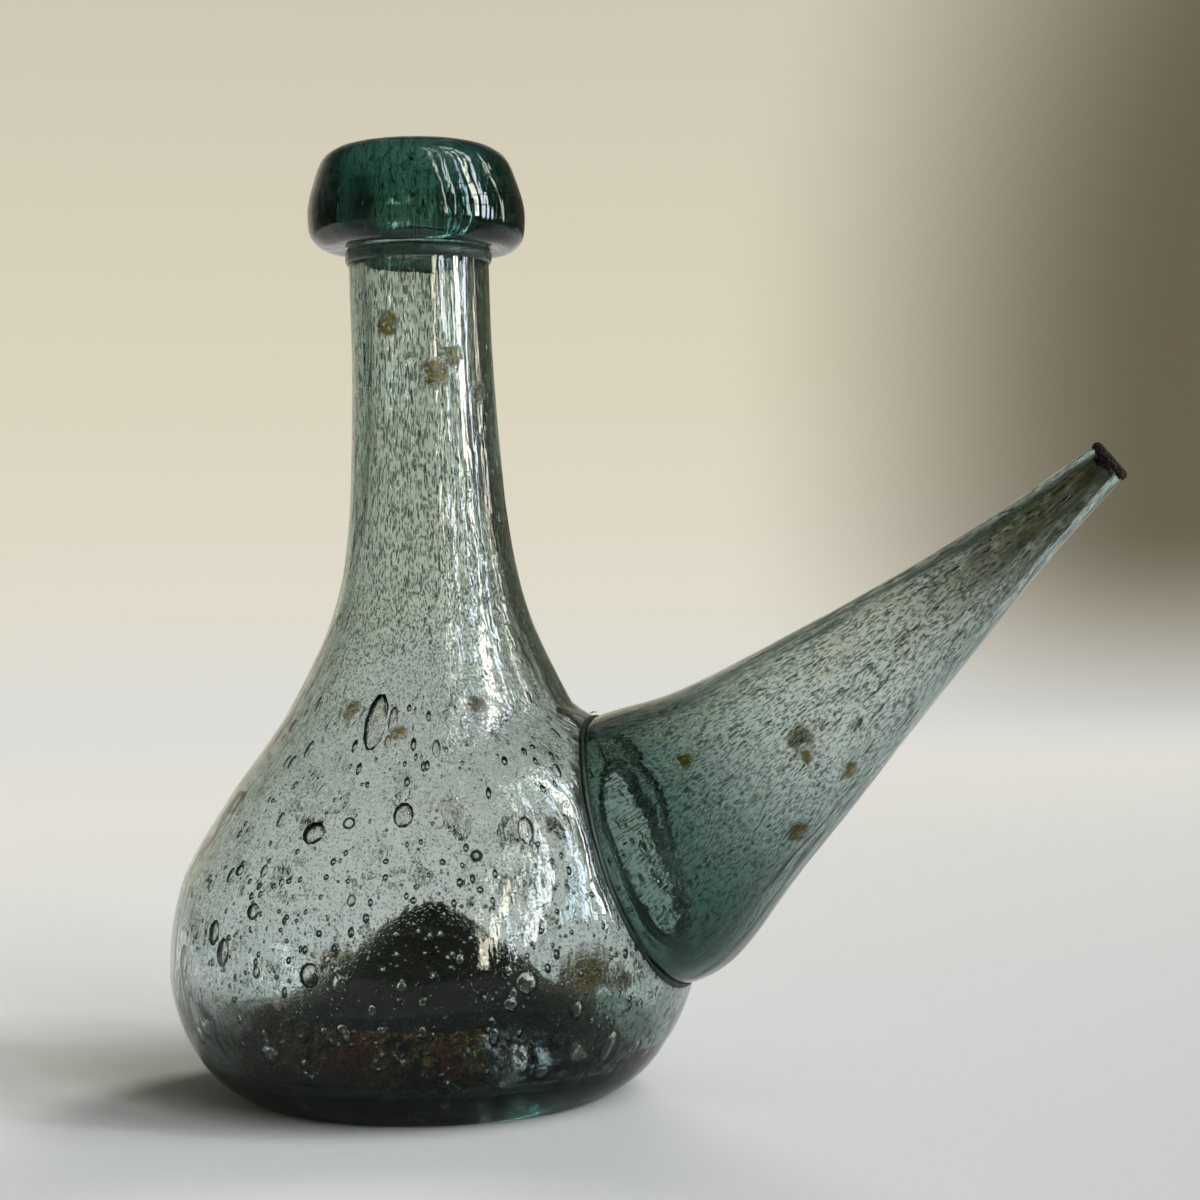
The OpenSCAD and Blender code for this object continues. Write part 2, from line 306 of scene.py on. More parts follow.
def ring_at(r, z, inset=0.0, wobble=0.0, seed=0.0, seated=True):
    if r < 0.01:
        return [(0.0, 0.0, z)]
    radius = reach(np.full(AROUND, r), cos_t, np.full(AROUND, z), inset) if seated else r
    radius = radius * np.ones(AROUND)
    if wobble:
        up = np.full(AROUND, z)
        broad = lumps(radius * cos_t, radius * sin_t, up, (17, 17, 24), seed)
        stretch = 8 + 30 * min(1.0, max(0.0, (z - 60) / 60))
        fine = lumps(radius * cos_t, radius * sin_t, up, (4.5, 4.5, stretch), seed + 9)
        radius = radius + wobble * (0.8 * broad + 0.35 * fine - 0.55)
    return list(zip(radius * cos_t + lean(z), radius * sin_t, np.full(AROUND, float(z))))


rings = [ring_at(r, z, wobble=0.12 if r > 3 else 0, seed=31, seated=False)
         for r, z in even(inner_line[:len(slope) + len(gutter) - 1], 2.4)]
rings += [ring_at(r, z, 3.0, 0.3, 47) for r, z in even(inner_side, 2.1)]
rings += [ring_at(r, z, 0, 0.22 if z > 14 else 0.1, 3, z > 14)
          for r, z in even(outer_line[::-1], 1.8)]
rings += [ring_at(r, z, seated=False) for r, z in foot[::-1]]
rings += [ring_at(r, z, wobble=0.12 if r > 5 else 0, seed=71, seated=False)
          for r, z in even(under_line[::-1], 2.8)]
body_mesh = skin("blown_body", rings)
print("body", len(body_mesh.vertices), "points,", len(rings), "rings")

# %% [markdown]
# ## The port
# Before the spout went on, the shoulder was heated and pierced, which pushed a ragged lip
# outwards. The hole is cut as a Boolean of a slightly uneven plug, so the wall shows its true
# thickness, and the lip is a ring of its own that stands on the seat round the hole.

# %% Pierce the port
ACROSS = np.array([0.0, 1.0, 0.0])
UPWARD = np.cross(NORMAL, ACROSS) * -1           # up along the seat
if UPWARD[2] < 0:
    UPWARD = -UPWARD


def on_seat(out, angle, height):
    """A point at a distance from the seat's middle, and at a height above its flat."""
    return SEAT + out * (math.cos(angle) * UPWARD + math.sin(angle) * ACROSS) + height * NORMAL


def port_radius(angle):
    return 21.35 + 0.35 * math.sin(2 * angle + 0.6) + 0.25 * math.sin(5 * angle)


plug_rings = [[SEAT - 20 * NORMAL]]
for height in (-20, 8):
    plug_rings.append([on_seat(port_radius(a), a, height)
                       for a in np.arange(96) * 2 * math.pi / 96])
plug_rings.append([SEAT + 8 * NORMAL])
plug = show("plug", skin("plug", plug_rings))
body = show("blown_body", body_mesh)
cut = body.modifiers.new("port", "BOOLEAN")
cut.operation, cut.object, cut.solver = "DIFFERENCE", plug, "EXACT"


def settle(thing):
    """Makes the modifiers' result the mesh itself, and removes the modifiers."""
    bpy.context.view_layer.update()
    done = bpy.data.meshes.new_from_object(
        thing.evaluated_get(bpy.context.evaluated_depsgraph_get()))
    thing.modifiers.clear()
    thing.data = done
    return thing


settle(body)
bpy.data.objects.remove(plug)
body.data.shade_smooth()
body.data.set_sharp_from_angle(angle=math.radians(50))
print("pierced body", len(body.data.polygons), "faces")

# %% [markdown]
# ## Seeds and bubbles
# The melt was never hot enough for the gas to rise out, so the glass is full of seeds. In the
# belly they are round; in the neck and the spout the glass was drawn out, and the seeds with it,
# to needles that lie along the pull. Geometry Nodes scatter them in the wall: points on the skin,
# sunk half a wall deep, each with a small round shape that is flattened across the wall and
# stretched along the pull. Their faces are turned inside out, because they are holes in the
# glass, and they are joined into the piece's mesh, so light leaves the glass and enters it again.

# %% A tree that scatters bubbles in a wall
def bubble_tree(name, finish):
    tree = bpy.data.node_groups.new(name, "GeometryNodeTree")
    face = tree.interface
    face.new_socket("Skin", in_out="INPUT", socket_type="NodeSocketGeometry")
    for label, kind in (("Per square metre", "Float"), ("Depth least", "Float"),
                        ("Depth most", "Float"), ("Radius least", "Float"),
                        ("Radius most", "Float"), ("Flatness", "Float"),
                        ("Round below", "Float"), ("Drawn above", "Float"),
                        ("Stretch round", "Float"), ("Stretch drawn", "Float"),
                        ("Pull", "Vector"), ("Roundness", "Int"), ("Seed", "Int")):
        face.new_socket(label, in_out="INPUT", socket_type="NodeSocket" + kind)
    face.new_socket("Bubbles", in_out="OUTPUT", socket_type="NodeSocketGeometry")
    given = put(tree, "NodeGroupInput").outputs
    points = put(tree, "GeometryNodeDistributePointsOnFaces",
                 {"Mesh": given["Skin"], "Density": given["Per square metre"],
                  "Seed": given["Seed"]})
    sideways = points.outputs["Normal"]
    depth = put(tree, "FunctionNodeRandomValue", {2: given["Depth least"],
                3: given["Depth most"], "Seed": 5}, data_type="FLOAT")
    sunk = put(tree, "ShaderNodeVectorMath", {0: sideways, "Scale": depth.outputs[1]},
               operation="SCALE")
    moved = put(tree, "GeometryNodeSetPosition", {"Geometry": points.outputs["Points"],
                                                  "Offset": sunk.outputs[0]})
    place = put(tree, "GeometryNodeInputPosition")
    along = put(tree, "ShaderNodeVectorMath", {0: place.outputs[0], 1: given["Pull"]},
                operation="DOT_PRODUCT")
    stretch = put(tree, "ShaderNodeMapRange", {"Value": along.outputs["Value"],
                  "From Min": given["Round below"], "From Max": given["Drawn above"],
                  "To Min": given["Stretch round"], "To Max": given["Stretch drawn"]})
    uneven = put(tree, "FunctionNodeRandomValue", {2: 0.55, 3: 1.6, "Seed": 6},
                 data_type="FLOAT")
    longer = put(tree, "ShaderNodeMath", {0: stretch.outputs[0], 1: uneven.outputs[1]},
                 operation="MULTIPLY")
    longer = put(tree, "ShaderNodeMath", {0: longer.outputs[0], 1: 1.0}, operation="MAXIMUM")
    pick = put(tree, "FunctionNodeRandomValue", {2: 0.0, 3: 1.0, "Seed": 7}, data_type="FLOAT")
    few = put(tree, "ShaderNodeMath", {0: pick.outputs[1], 1: 2.6}, operation="POWER")
    radius = put(tree, "ShaderNodeMapRange", {"Value": few.outputs[0],
                 "To Min": given["Radius least"], "To Max": given["Radius most"]})
    size = put(tree, "ShaderNodeCombineXYZ", {"X": longer.outputs[0], "Y": 1.0,
                                              "Z": given["Flatness"]})
    size = put(tree, "ShaderNodeVectorMath", {0: size.outputs[0], "Scale": radius.outputs[0]},
               operation="SCALE")
    turned = put(tree, "FunctionNodeAxesToRotation", {"Primary Axis": sideways,
                 "Secondary Axis": given["Pull"]}, primary_axis="Z", secondary_axis="X")
    ball = put(tree, "GeometryNodeMeshIcoSphere", {"Radius": 1.0,
                                                   "Subdivisions": given["Roundness"]})
    holes = put(tree, "GeometryNodeFlipFaces", {"Mesh": ball.outputs["Mesh"]})
    placed = put(tree, "GeometryNodeInstanceOnPoints", {"Points": moved.outputs[0],
                 "Instance": holes.outputs[0], "Rotation": turned.outputs[0],
                 "Scale": size.outputs[0]})
    real = put(tree, "GeometryNodeRealizeInstances", {"Geometry": placed.outputs[0]})
    smooth = put(tree, "GeometryNodeSetShadeSmooth", {"Geometry": real.outputs[0]})
    dressed = put(tree, "GeometryNodeSetMaterial", {"Geometry": smooth.outputs[0],
                                                    "Material": finish})
    put(tree, "NodeGroupOutput", {0: dressed.outputs[0]})
    return tree


def scatter(tree, rings_of_skin, **inputs):
    """Runs the tree on a skin of its own, and gives the bubbles as a plain mesh."""
    host = show("bubble_host", skin("bubble_host", rings_of_skin))
    made = host.modifiers.new("bubbles", "NODES")
    made.node_group = tree
    for item in tree.interface.items_tree:
        if item.in_out == "INPUT" and item.name in inputs:
            made[item.identifier] = inputs[item.name]
    settle(host)
    mesh = host.data
    bpy.data.objects.remove(host)
    return mesh


def join_into(thing, *meshes):
    work = bmesh.new()
    work.from_mesh(thing.data)
    for m in meshes:
        work.from_mesh(m)
    work.to_mesh(thing.data)
    work.free()


print("bubble tree ready")

# %% [markdown]
# ## Grey-green bottle glass
# Soda-lime glass melted from unwashed sand: iron turns it grey-green, and a thick place is dark
# where a thin one is pale, so the colour belongs in the volume and not on the surface. Volume
# Absorption takes 8 to 11% of the red and 6 to 8% of the green and blue in each millimetre.
# The surface carries what is too fine to model: specks of seed smaller than a millimetre,
# the drawn streaks that make the reflections wander, and the dirt of use. All patterns are laid
# out in millimetres of the object, turned so that their long way lies along the pull.
# On the pushed-up peak the dark film is painted shade as well as dirt.

# %% The glass
GLASS_IOR = 1.52           # soda-lime
WARP = 3.0                 # how far noise pulls a stain's edge about, in millimetres


def new_material(name):
    """A material with an empty tree, and the places on the object in millimetres."""
    made = bpy.data.materials.new(name)
    made.use_nodes = True
    tree = made.node_tree
    tree.nodes.clear()
    where = put(tree, "ShaderNodeTexCoord").outputs["Object"]
    mm = put(tree, "ShaderNodeVectorMath", {0: where, "Scale": 1000.0}, operation="SCALE")
    return made, tree, mm


def glass(name, turn_y=0.0, round_to_drawn=(60, 115), tint="#FFFFFF", dirt=(), rings_of_dirt=(),
          film=None, root=None, fleck=1.0, wave=1.0, per_metre=800.0):
    made, tree, mm = new_material(name)
    laid = put(tree, "ShaderNodeMapping", {"Vector": mm, "Rotation": (0, math.radians(turn_y), 0)},
               vector_type="POINT")
    height = put(tree, "ShaderNodeSeparateXYZ", {0: laid}).outputs["Z"]
    drawn = put(tree, "ShaderNodeMapRange", {"Value": height, "From Min": round_to_drawn[0],
                "From Max": round_to_drawn[1]}, interpolation_type="SMOOTHSTEP")

    def pattern(scale, detail, low, high, grain=0.5):
        """Soft noise, 0 at low and 1 at high. Scale is in lumps per millimetre, per axis."""
        spread = put(tree, "ShaderNodeMapping", {"Vector": laid, "Scale": scale})
        cloud = put(tree, "ShaderNodeTexNoise", {"Vector": spread, "Scale": 1.0,
                    "Detail": detail, "Roughness": grain}).outputs["Fac"]
        return put(tree, "ShaderNodeMapRange", {"Value": cloud, "From Min": low,
                                                "From Max": high})

    def specks(scale, most, strength):
        """Separate specks, one to a cell, of every size up to a share of the cell."""
        spread = put(tree, "ShaderNodeMapping", {"Vector": laid, "Scale": scale})
        cells = put(tree, "ShaderNodeTexVoronoi", {"Vector": spread, "Scale": 1.0}).outputs
        chance = put(tree, "ShaderNodeSeparateXYZ", {0: cells["Color"]})
        skewed = put(tree, "ShaderNodeMath", {0: chance, 1: 0.7}, operation="POWER")
        wide = put(tree, "ShaderNodeMath", {0: skewed, 1: most}, operation="MULTIPLY")
        gap = put(tree, "ShaderNodeMath", {0: wide, 1: cells["Distance"]}, operation="SUBTRACT")
        return put(tree, "ShaderNodeMapRange", {"Value": gap, "From Max": 0.10,
                                                "To Max": strength})

    # Seeds up to 0.7 mm across: dots in the belly, dashes up to 3 mm long where it was drawn
    seeds = put(tree, "ShaderNodeMix", {0: drawn, 2: specks((1.25, 1.25, 1.25), 0.44, 0.62 * fleck),
                                        3: specks((2.2, 2.2, 0.34), 0.50, fleck)})
    shade = put(tree, "ShaderNodeMath", {0: seeds, 1: 0.95}, operation="MULTIPLY")
    colour = put(tree, "ShaderNodeMix", {0: shade, 6: paint(tint), 7: paint("#363E37")},
                 data_type="RGBA").outputs[2]
    if root:                                   # a deeper colour where the glass is thick
        near = put(tree, "ShaderNodeMapRange", {"Value": height, "From Min": root[0],
                   "From Max": root[1], "To Min": 1.0, "To Max": 0.0},
                   interpolation_type="SMOOTHSTEP")
        colour = put(tree, "ShaderNodeMix", {0: near, 6: colour, 7: paint(root[2])},
                     data_type="RGBA", blend_type="MULTIPLY").outputs[2]
    rough = 0.0
    if dirt:                                   # amber stains with ragged edges
        ragged = pattern((0.9, 0.9, 0.9), 4.0, 0.38, 0.56, 0.7)
        tone = put(tree, "ShaderNodeMix", {0: pattern((0.35, 0.35, 0.35), 2.0, 0.35, 0.65),
                   6: paint("#3A2E04"), 7: paint("#7C5E0A")}, data_type="RGBA").outputs[2]
        shift = put(tree, "ShaderNodeTexNoise", {"Vector": mm, "Scale": 0.45}).outputs["Color"]
        shift = put(tree, "ShaderNodeVectorMath", {0: shift, "Scale": WARP}, operation="SCALE")
        warped = put(tree, "ShaderNodeVectorMath", {0: mm, 1: shift}, operation="ADD")
        grime = 0.0
        for centre, size in dirt:
            away = put(tree, "ShaderNodeVectorMath", {0: warped,
                       1: tuple(c + WARP / 2 for c in centre)},
                       operation="DISTANCE").outputs["Value"]
            spot = put(tree, "ShaderNodeMapRange", {"Value": away, "From Min": size * 0.3,
                       "From Max": size * 1.1, "To Min": 2.2, "To Max": 0.0})
            spot = put(tree, "ShaderNodeMath", {0: spot, 1: ragged}, operation="MULTIPLY")
            grime = put(tree, "ShaderNodeMath", {0: spot, 1: grime}, operation="MAXIMUM",
                        use_clamp=True)
        rough = put(tree, "ShaderNodeMath", {0: grime, 1: 0.2}, operation="MULTIPLY")
    for centre, size, thick in rings_of_dirt:  # blisters with a dark rim
        away = put(tree, "ShaderNodeVectorMath", {0: mm, 1: centre},
                   operation="DISTANCE").outputs["Value"]
        off = put(tree, "ShaderNodeMath", {0: away, 1: size}, operation="SUBTRACT")
        off = put(tree, "ShaderNodeMath", {0: off}, operation="ABSOLUTE")
        rim = put(tree, "ShaderNodeMapRange", {"Value": off, "From Min": thick * 0.5,
                  "From Max": thick, "To Min": 1.0, "To Max": 0.0})
        colour = put(tree, "ShaderNodeMix", {0: rim, 6: colour, 7: paint("#0A1410")},
                     data_type="RGBA").outputs[2]
    if film:                                   # dried dirt on an inner face; on the pushed-up peak it is also painted shade
        covered, film_tone, dulling = film(tree, laid, pattern)
        colour = put(tree, "ShaderNodeMix", {0: covered, 6: colour, 7: film_tone},
                     data_type="RGBA").outputs[2]
        dull = put(tree, "ShaderNodeMath", {0: covered, 1: dulling}, operation="MULTIPLY")
        rough = put(tree, "ShaderNodeMath", {0: rough, 1: dull}, operation="MAXIMUM")
    if dirt:
        colour = put(tree, "ShaderNodeMix", {0: grime, 6: colour, 7: tone},
                     data_type="RGBA").outputs[2]
    # Relief in millimetres: drawn streaks about 3 mm wide, broad swells and fine pits
    streaky = put(tree, "ShaderNodeMapRange", {"Value": drawn, "To Min": 0.08 * wave,
                                               "To Max": 0.20 * wave})
    relief = put(tree, "ShaderNodeMath", {0: pattern((0.30, 0.30, 0.022), 2.0, 0.0, 1.0),
                                          1: streaky}, operation="MULTIPLY")
    forms = [(pattern((0.16, 0.16, 0.14), 1.0, 0.0, 1.0), 0.11 * wave),
             (pattern((0.9, 0.9, 0.9), 2.0, 0.0, 1.0), 0.012 * wave), (seeds, 0.02)]
    if dirt:
        forms.append((grime, 0.15))
    for form, tall in forms:
        relief = put(tree, "ShaderNodeMath", {0: form, 1: tall, 2: relief},
                     operation="MULTIPLY_ADD")
    bump = put(tree, "ShaderNodeBump", {"Height": relief, "Strength": 1.0, "Distance": MM})
    surface = put(tree, "ShaderNodeBsdfPrincipled", {"Base Color": colour, "Roughness": rough,
                  "IOR": GLASS_IOR, "Transmission Weight": 1.0, "Normal": bump})
    depth = put(tree, "ShaderNodeVolumeAbsorption", {"Color": (0.870, 0.913, 0.906, 1.0),
                                                     "Density": per_metre})
    put(tree, "ShaderNodeOutputMaterial", {"Surface": surface, "Volume": depth})
    return made


def peak_dirt_and_painted_shade(tree, laid, pattern):
    """Dirt and painted shade in black-green on the pushed-up peak, and teal and red-brown dirt in the
    gutter.
    """
    parts = put(tree, "ShaderNodeSeparateXYZ", {0: laid}).outputs
    flat = put(tree, "ShaderNodeCombineXYZ", {"X": parts["X"], "Y": parts["Y"]})
    radius = put(tree, "ShaderNodeVectorMath", {0: flat}, operation="LENGTH").outputs["Value"]
    # What is measured, the place where each change starts and ends, and the amounts there
    changes = [(parts["Z"], 12.0, 26.0, 0.66, 1.0), (parts["Z"], 13.0, 20.0, 0.25, 0.0),
               (radius, 54.5, 56.0, 1.0, 0.0), (parts["Z"], 6.5, 8.0, 0.0, 1.0),
               (parts["Z"], 47.0, 48.0, 1.0, 0.0), (parts["X"], -40.0, 20.0, 1.0, 0.0),
               (parts["Z"], 20.0, 29.0, 0.0, 1.0)]
    slope_film, gutter_film, in_belly, over_foot, under_air, left, top = [
        put(tree, "ShaderNodeMapRange", {"Value": value, "From Min": low, "From Max": high,
            "To Min": start, "To Max": end}, interpolation_type="SMOOTHSTEP")
        for value, low, high, start, end in changes]
    patchy = pattern((0.20, 0.20, 0.20), 4.0, 0.32, 0.60, 0.65)
    ragged = put(tree, "ShaderNodeMath", {0: patchy, 1: 0.38, 2: 0.74}, operation="MULTIPLY_ADD")
    amount = put(tree, "ShaderNodeMath", {0: slope_film, 1: gutter_film}, operation="ADD")
    for share in (ragged, in_belly, over_foot, under_air):
        amount = put(tree, "ShaderNodeMath", {0: amount, 1: share}, operation="MULTIPLY")
    amount = put(tree, "ShaderNodeMath", {0: amount, 1: 0.97}, operation="MINIMUM")
    redder = put(tree, "ShaderNodeMath", {0: left, 1: patchy}, operation="MULTIPLY")
    gutter_tone = put(tree, "ShaderNodeMix", {0: redder, 6: paint("#1C5642"),
                      7: paint("#3E2408")}, data_type="RGBA").outputs[2]
    # Painted shade: the top of the peak turns near black-green, for the shaded hollow under it as well as
    # dirt
    tone = put(tree, "ShaderNodeMix", {0: top, 6: gutter_tone, 7: paint("#072A1A")},
               data_type="RGBA").outputs[2]
    return amount, tone, 0.02


stains = [((-2.8, -17.1, 186.0), 3.2), ((8.5, -15.4, 173.8), 4.0), ((11.9, -12.7, 178.2), 3.0),
          ((16.4, -6.7, 169.6), 2.6), ((21.3, -26.5, 95.0), 2.4), ((5.6, -37.2, 89.2), 2.2),
          ((-14, 30, 120), 4), ((-30, 20, 92), 4), ((20, 52, 60), 5), ((-44, 30, 62), 3),
          ((26, 52, 20), 9), ((38, 42, 21), 7), ((-41, 40, 21), 8)]
blisters = [((-1.5, -50.9, 69.7), 1.25, 0.42), ((27.6, -48.2, 62.1), 1.45, 0.42)]
body_glass = glass("seedy_grey_green_glass", dirt=stains, rings_of_dirt=blisters, film=peak_dirt_and_painted_shade,
                   per_metre=660.0)
print("glass for the body:", len(body_glass.node_tree.nodes), "nodes")

# %% Bubbles in the body
seed_tree = bubble_tree("seeds", body_glass)
belly_and_neck = [ring_at(r, z, 1.0 if z > 14 else 0.0) for r, z in
                  even(np.array([p for p in outer_line if 4 < p[1] < 203]), 3.0)]
low_belly, heel_rings = [[ring_at(r, z) for r, z in
                    even(np.array([p for p in outer_line if low < p[1] < high]), 3.0)]
                   for low, high in ((4, 98), (3, 60))]
UPWARDS = {"Round below": 0.060, "Drawn above": 0.125, "Stretch drawn": 3.0,
           "Pull": (0.0, 0.0, 1.0), "Roundness": 1}
body_seeds = scatter(seed_tree, belly_and_neck, **{
    "Per square metre": 52000.0, "Depth least": -0.0017, "Depth most": -0.0006,
    "Radius least": 0.00013, "Radius most": 0.00036, "Flatness": 0.7,
    "Round below": 0.062, "Drawn above": 0.14, "Stretch round": 1.0, "Stretch drawn": 6.5,
    "Pull": (0.0, 0.0, 1.0), "Roundness": 1, "Seed": 3})
belly_seeds = scatter(seed_tree, low_belly, **{
    **UPWARDS, "Per square metre": 34000.0, "Depth least": -0.0016, "Depth most": -0.0007,
    "Radius least": 0.00028, "Radius most": 0.00085, "Flatness": 0.5, "Stretch round": 1.1,
    "Seed": 8})
heel_seeds = scatter(seed_tree, heel_rings, **{
    **UPWARDS, "Per square metre": 52000.0, "Depth least": -0.0016, "Depth most": -0.0007,
    "Radius least": 0.00034, "Radius most": 0.00095, "Flatness": 0.45, "Stretch round": 1.15,
    "Seed": 15})
body_bubbles = scatter(seed_tree, low_belly, **{
    **UPWARDS, "Per square metre": 7000.0, "Depth least": -0.0014, "Depth most": -0.0009,
    "Radius least": 0.0008, "Radius most": 0.0030, "Flatness": 0.26, "Stretch round": 1.15,
    "Round below": 0.055, "Roundness": 2, "Seed": 11})
body.data.materials.clear()
body.data.materials.append(body_glass)
join_into(body, body_seeds, belly_seeds, heel_seeds, body_bubbles)
print("body", sum(len(m.polygons) // 20 for m in (body_seeds, belly_seeds, heel_seeds)),
      "seeds,", len(body_bubbles.polygons) // 80, "bubbles,",
      sum(len(p.vertices) - 2 for p in body.data.polygons), "triangles")

# %% [markdown]
# ## The spout
# The spout was a bubble of its own, drawn to a point, cracked off at both ends and pressed on to
# the seat. It is turned about its own axis, which sags a little as hot glass does, and every line
# up its side is followed down to where it meets the body's skin, so the foot fits the seat as
# closely as a weld does. The two skins are closed at the foot and at the broken tip.

# %% Outline and place of the spout
SPOUT_TILT = math.radians(39.8)
AXIS = np.array([math.cos(SPOUT_TILT), 0.0, math.sin(SPOUT_TILT)])
TOPWARD = np.array([-AXIS[2], 0.0, AXIS[0]])
ROOT = SEAT - 1.7 * UPWARD
LENGTH = 145.5
BASE_R, TIP_R, FLARE = 33.6, 4.9, 1.28
taper = [(TIP_R + (BASE_R - TIP_R) * (1 - f) ** FLARE, f * LENGTH)
         for f in (0.22, 0.32, 0.44, 0.57, 0.7, 0.84, 1)]
spout_line = curve_through([(26.5, -16), (29.9, -11), (32.3, -6), (BASE_R, 2), (32.7, 10)] + taper,
                           (1, 1.2), (-1, 9))
spout_wall = np.interp(spout_line[:, 1], [-16, 14.55, 58.2, LENGTH], [3.6, 3.2, 2.0, 2.0])
hollow = spout_line - across(spout_line) * spout_wall[:, None]
hollow = hollow[(hollow[:, 0] > 3.6) & (hollow[:, 1] < 138.5)]


def sag(s):
    return np.interp(s, [-16, 2, 10, 16, 21, 26, 34, 45, 75, 110, LENGTH],
                     [1.2, 1.6, 1.8, 1.8, 1.4, 0.8, 0.1, -0.4, -0.8, -0.5, 0])


SPOUT_AROUND = 120
round_spout = np.arange(SPOUT_AROUND) * 2 * math.pi / SPOUT_AROUND


def spout_point(s, line, angle, wobble=0.0, seed=0.0):
    """Points at distances s along the axis, one for each angle; 0 is the top."""
    r = np.interp(s, line[:, 1], line[:, 0])
    if wobble:
        x, y = r * np.cos(angle), r * np.sin(angle)
        broad = lumps(x, y, s, (14, 14, 26), seed)
        fine = lumps(x, y, s, (4, 4, 45), seed + 5)
        fade = np.clip((LENGTH - s) / 30, 0.15, 1)
        r = r + wobble * fade * (0.7 * broad + 0.4 * fine - 0.5)
    return (ROOT + np.outer(s, AXIS) + np.outer(sag(s) + r * np.cos(angle), TOPWARD)
            + np.outer(r * np.sin(angle), ACROSS))


GAP = 0.03                 # the weld's own clearance, so that no two skins share a place


def foot_of(line, wobble, seed):
    """How far down its axis each line up the spout's side reaches the body's skin."""
    steps = np.arange(40, -16.01, -0.5)
    out = np.array([clear_of_body(spout_point(np.full(SPOUT_AROUND, s), line, round_spout,
                                              wobble, seed)) for s in steps])
    inside = out < GAP
    first = np.where(inside.any(0), inside.argmax(0), len(steps) - 1)
    high, low = steps[first - 1], steps[first]
    for _ in range(14):
        mid = (high + low) / 2
        hit = clear_of_body(spout_point(mid, line, round_spout, wobble, seed)) < GAP
        low, high = np.where(hit, mid, low), np.where(hit, high, mid)
    return high


outer_foot = foot_of(spout_line, 0.25, 13)
inner_foot = foot_of(hollow, 0.3, 29)
print("spout foot from", outer_foot.min().round(1), "to", outer_foot.max().round(1), "mm")

# %% Turn the spout
JOIN = 30.0
rings = []
tip = [(4.9, 144.6), (4.75, 145.2), (4.4, 145.5), (3.5, 145.5), (3.25, 145.2), (3.2, 144.6)]
for share in np.linspace(0, 1, 14)[:-1] ** 1.15:
    s = outer_foot * (1 - share) + JOIN * share
    rings.append(spout_point(s, spout_line, round_spout, 0.25, 13))
for s in np.arange(JOIN, 144.2, 2.2):
    rings.append(spout_point(np.full(SPOUT_AROUND, s), spout_line, round_spout, 0.25, 13))
broken = 0.35 * lumps(np.cos(round_spout) * 5, np.sin(round_spout) * 5,
                      np.zeros(SPOUT_AROUND), (3, 3, 3), 5) - 0.35
for r, s in tip:
    level = s + broken * (s > 144.8)
    rings.append(ROOT + np.outer(level, AXIS) + np.outer(r * np.cos(round_spout), TOPWARD)
                 + np.outer(r * np.sin(round_spout), ACROSS))
inside_line = np.vstack([hollow, [(3.25, 140.0), (3.2, 141.0), (3.2, LENGTH)]])
for s in np.arange(143.4, JOIN, -2.2):
    rings.append(spout_point(np.full(SPOUT_AROUND, s), inside_line, round_spout,
                             0.3 if s < 136 else 0.0, 29))
for share in (np.linspace(0, 1, 14)[:-1] ** 1.15)[::-1]:
    s = inner_foot * (1 - share) + JOIN * share
    rings.append(spout_point(s, hollow, round_spout, 0.3, 29))
for share in (0.25, 0.5, 0.75):            # the foot's face, laid on the seat
    p = (spout_point(inner_foot, hollow, round_spout, 0.3, 29) * (1 - share)
         + spout_point(outer_foot, spout_line, round_spout, 0.25, 13) * share)
    for _ in range(6):
        p = p + np.outer(GAP - clear_of_body(p), NORMAL)
    rings.append(p)
spout_mesh = skin("drawn_spout", rings, loop=True)
spout = show("drawn_spout", spout_mesh)
print("spout", len(spout_mesh.vertices), "points")

# %% [markdown]
# ## Finish of the spout
# It is the same melt, drawn further, so its seeds are needles along its axis. It is darkest at
# its thick root, and its last two centimetres are lined with the dried film of what was poured.

# %% Glass and bubbles of the spout
def poured_film(tree, laid, pattern):
    """Olive-brown film on the bore's wall in the last part of the spout."""
    start = (float(ROOT @ -TOPWARD), 0.0, float(ROOT @ AXIS))
    parts = put(tree, "ShaderNodeVectorMath", {0: laid, 1: start}, operation="SUBTRACT")
    parts = put(tree, "ShaderNodeSeparateXYZ", {0: parts}).outputs
    share = put(tree, "ShaderNodeMath", {0: parts["Z"], 1: LENGTH}, operation="DIVIDE")
    left = put(tree, "ShaderNodeMath", {0: 1.0, 1: share}, operation="SUBTRACT", use_clamp=True)
    thin = put(tree, "ShaderNodeMath", {0: left, 1: FLARE}, operation="POWER")
    outside = put(tree, "ShaderNodeMath", {0: thin, 1: BASE_R - TIP_R, 2: TIP_R},
                  operation="MULTIPLY_ADD")
    flat = put(tree, "ShaderNodeCombineXYZ", {"X": parts["X"], "Y": parts["Y"]})
    off_axis = put(tree, "ShaderNodeVectorMath", {0: flat}, operation="LENGTH").outputs["Value"]
    sunk = put(tree, "ShaderNodeMath", {0: outside, 1: off_axis}, operation="SUBTRACT")
    bore = put(tree, "ShaderNodeMapRange", {"Value": sunk, "From Min": 0.8, "From Max": 1.3})
    olive = put(tree, "ShaderNodeMapRange", {"Value": share, "From Min": 0.52,
                "From Max": 0.88, "To Max": 0.9}, interpolation_type="SMOOTHSTEP")
    brown = put(tree, "ShaderNodeMapRange", {"Value": share, "From Min": 0.955,
                                             "From Max": 0.985})
    patchy = pattern((0.5, 0.5, 0.14), 3.0, 0.25, 0.6, 0.6)
    ragged = put(tree, "ShaderNodeMath", {0: patchy, 1: 0.6, 2: 0.5}, operation="MULTIPLY_ADD")
    amount = put(tree, "ShaderNodeMath", {0: olive, 1: ragged, 2: brown},
                 operation="MULTIPLY_ADD")
    amount = put(tree, "ShaderNodeMath", {0: amount, 1: bore}, operation="MULTIPLY")
    amount = put(tree, "ShaderNodeMath", {0: amount, 1: 0.97}, operation="MINIMUM")
    tone = put(tree, "ShaderNodeMix", {0: brown, 6: paint("#4A4A14"), 7: paint("#120A03")},
               data_type="RGBA").outputs[2]
    return amount, tone, 0.1


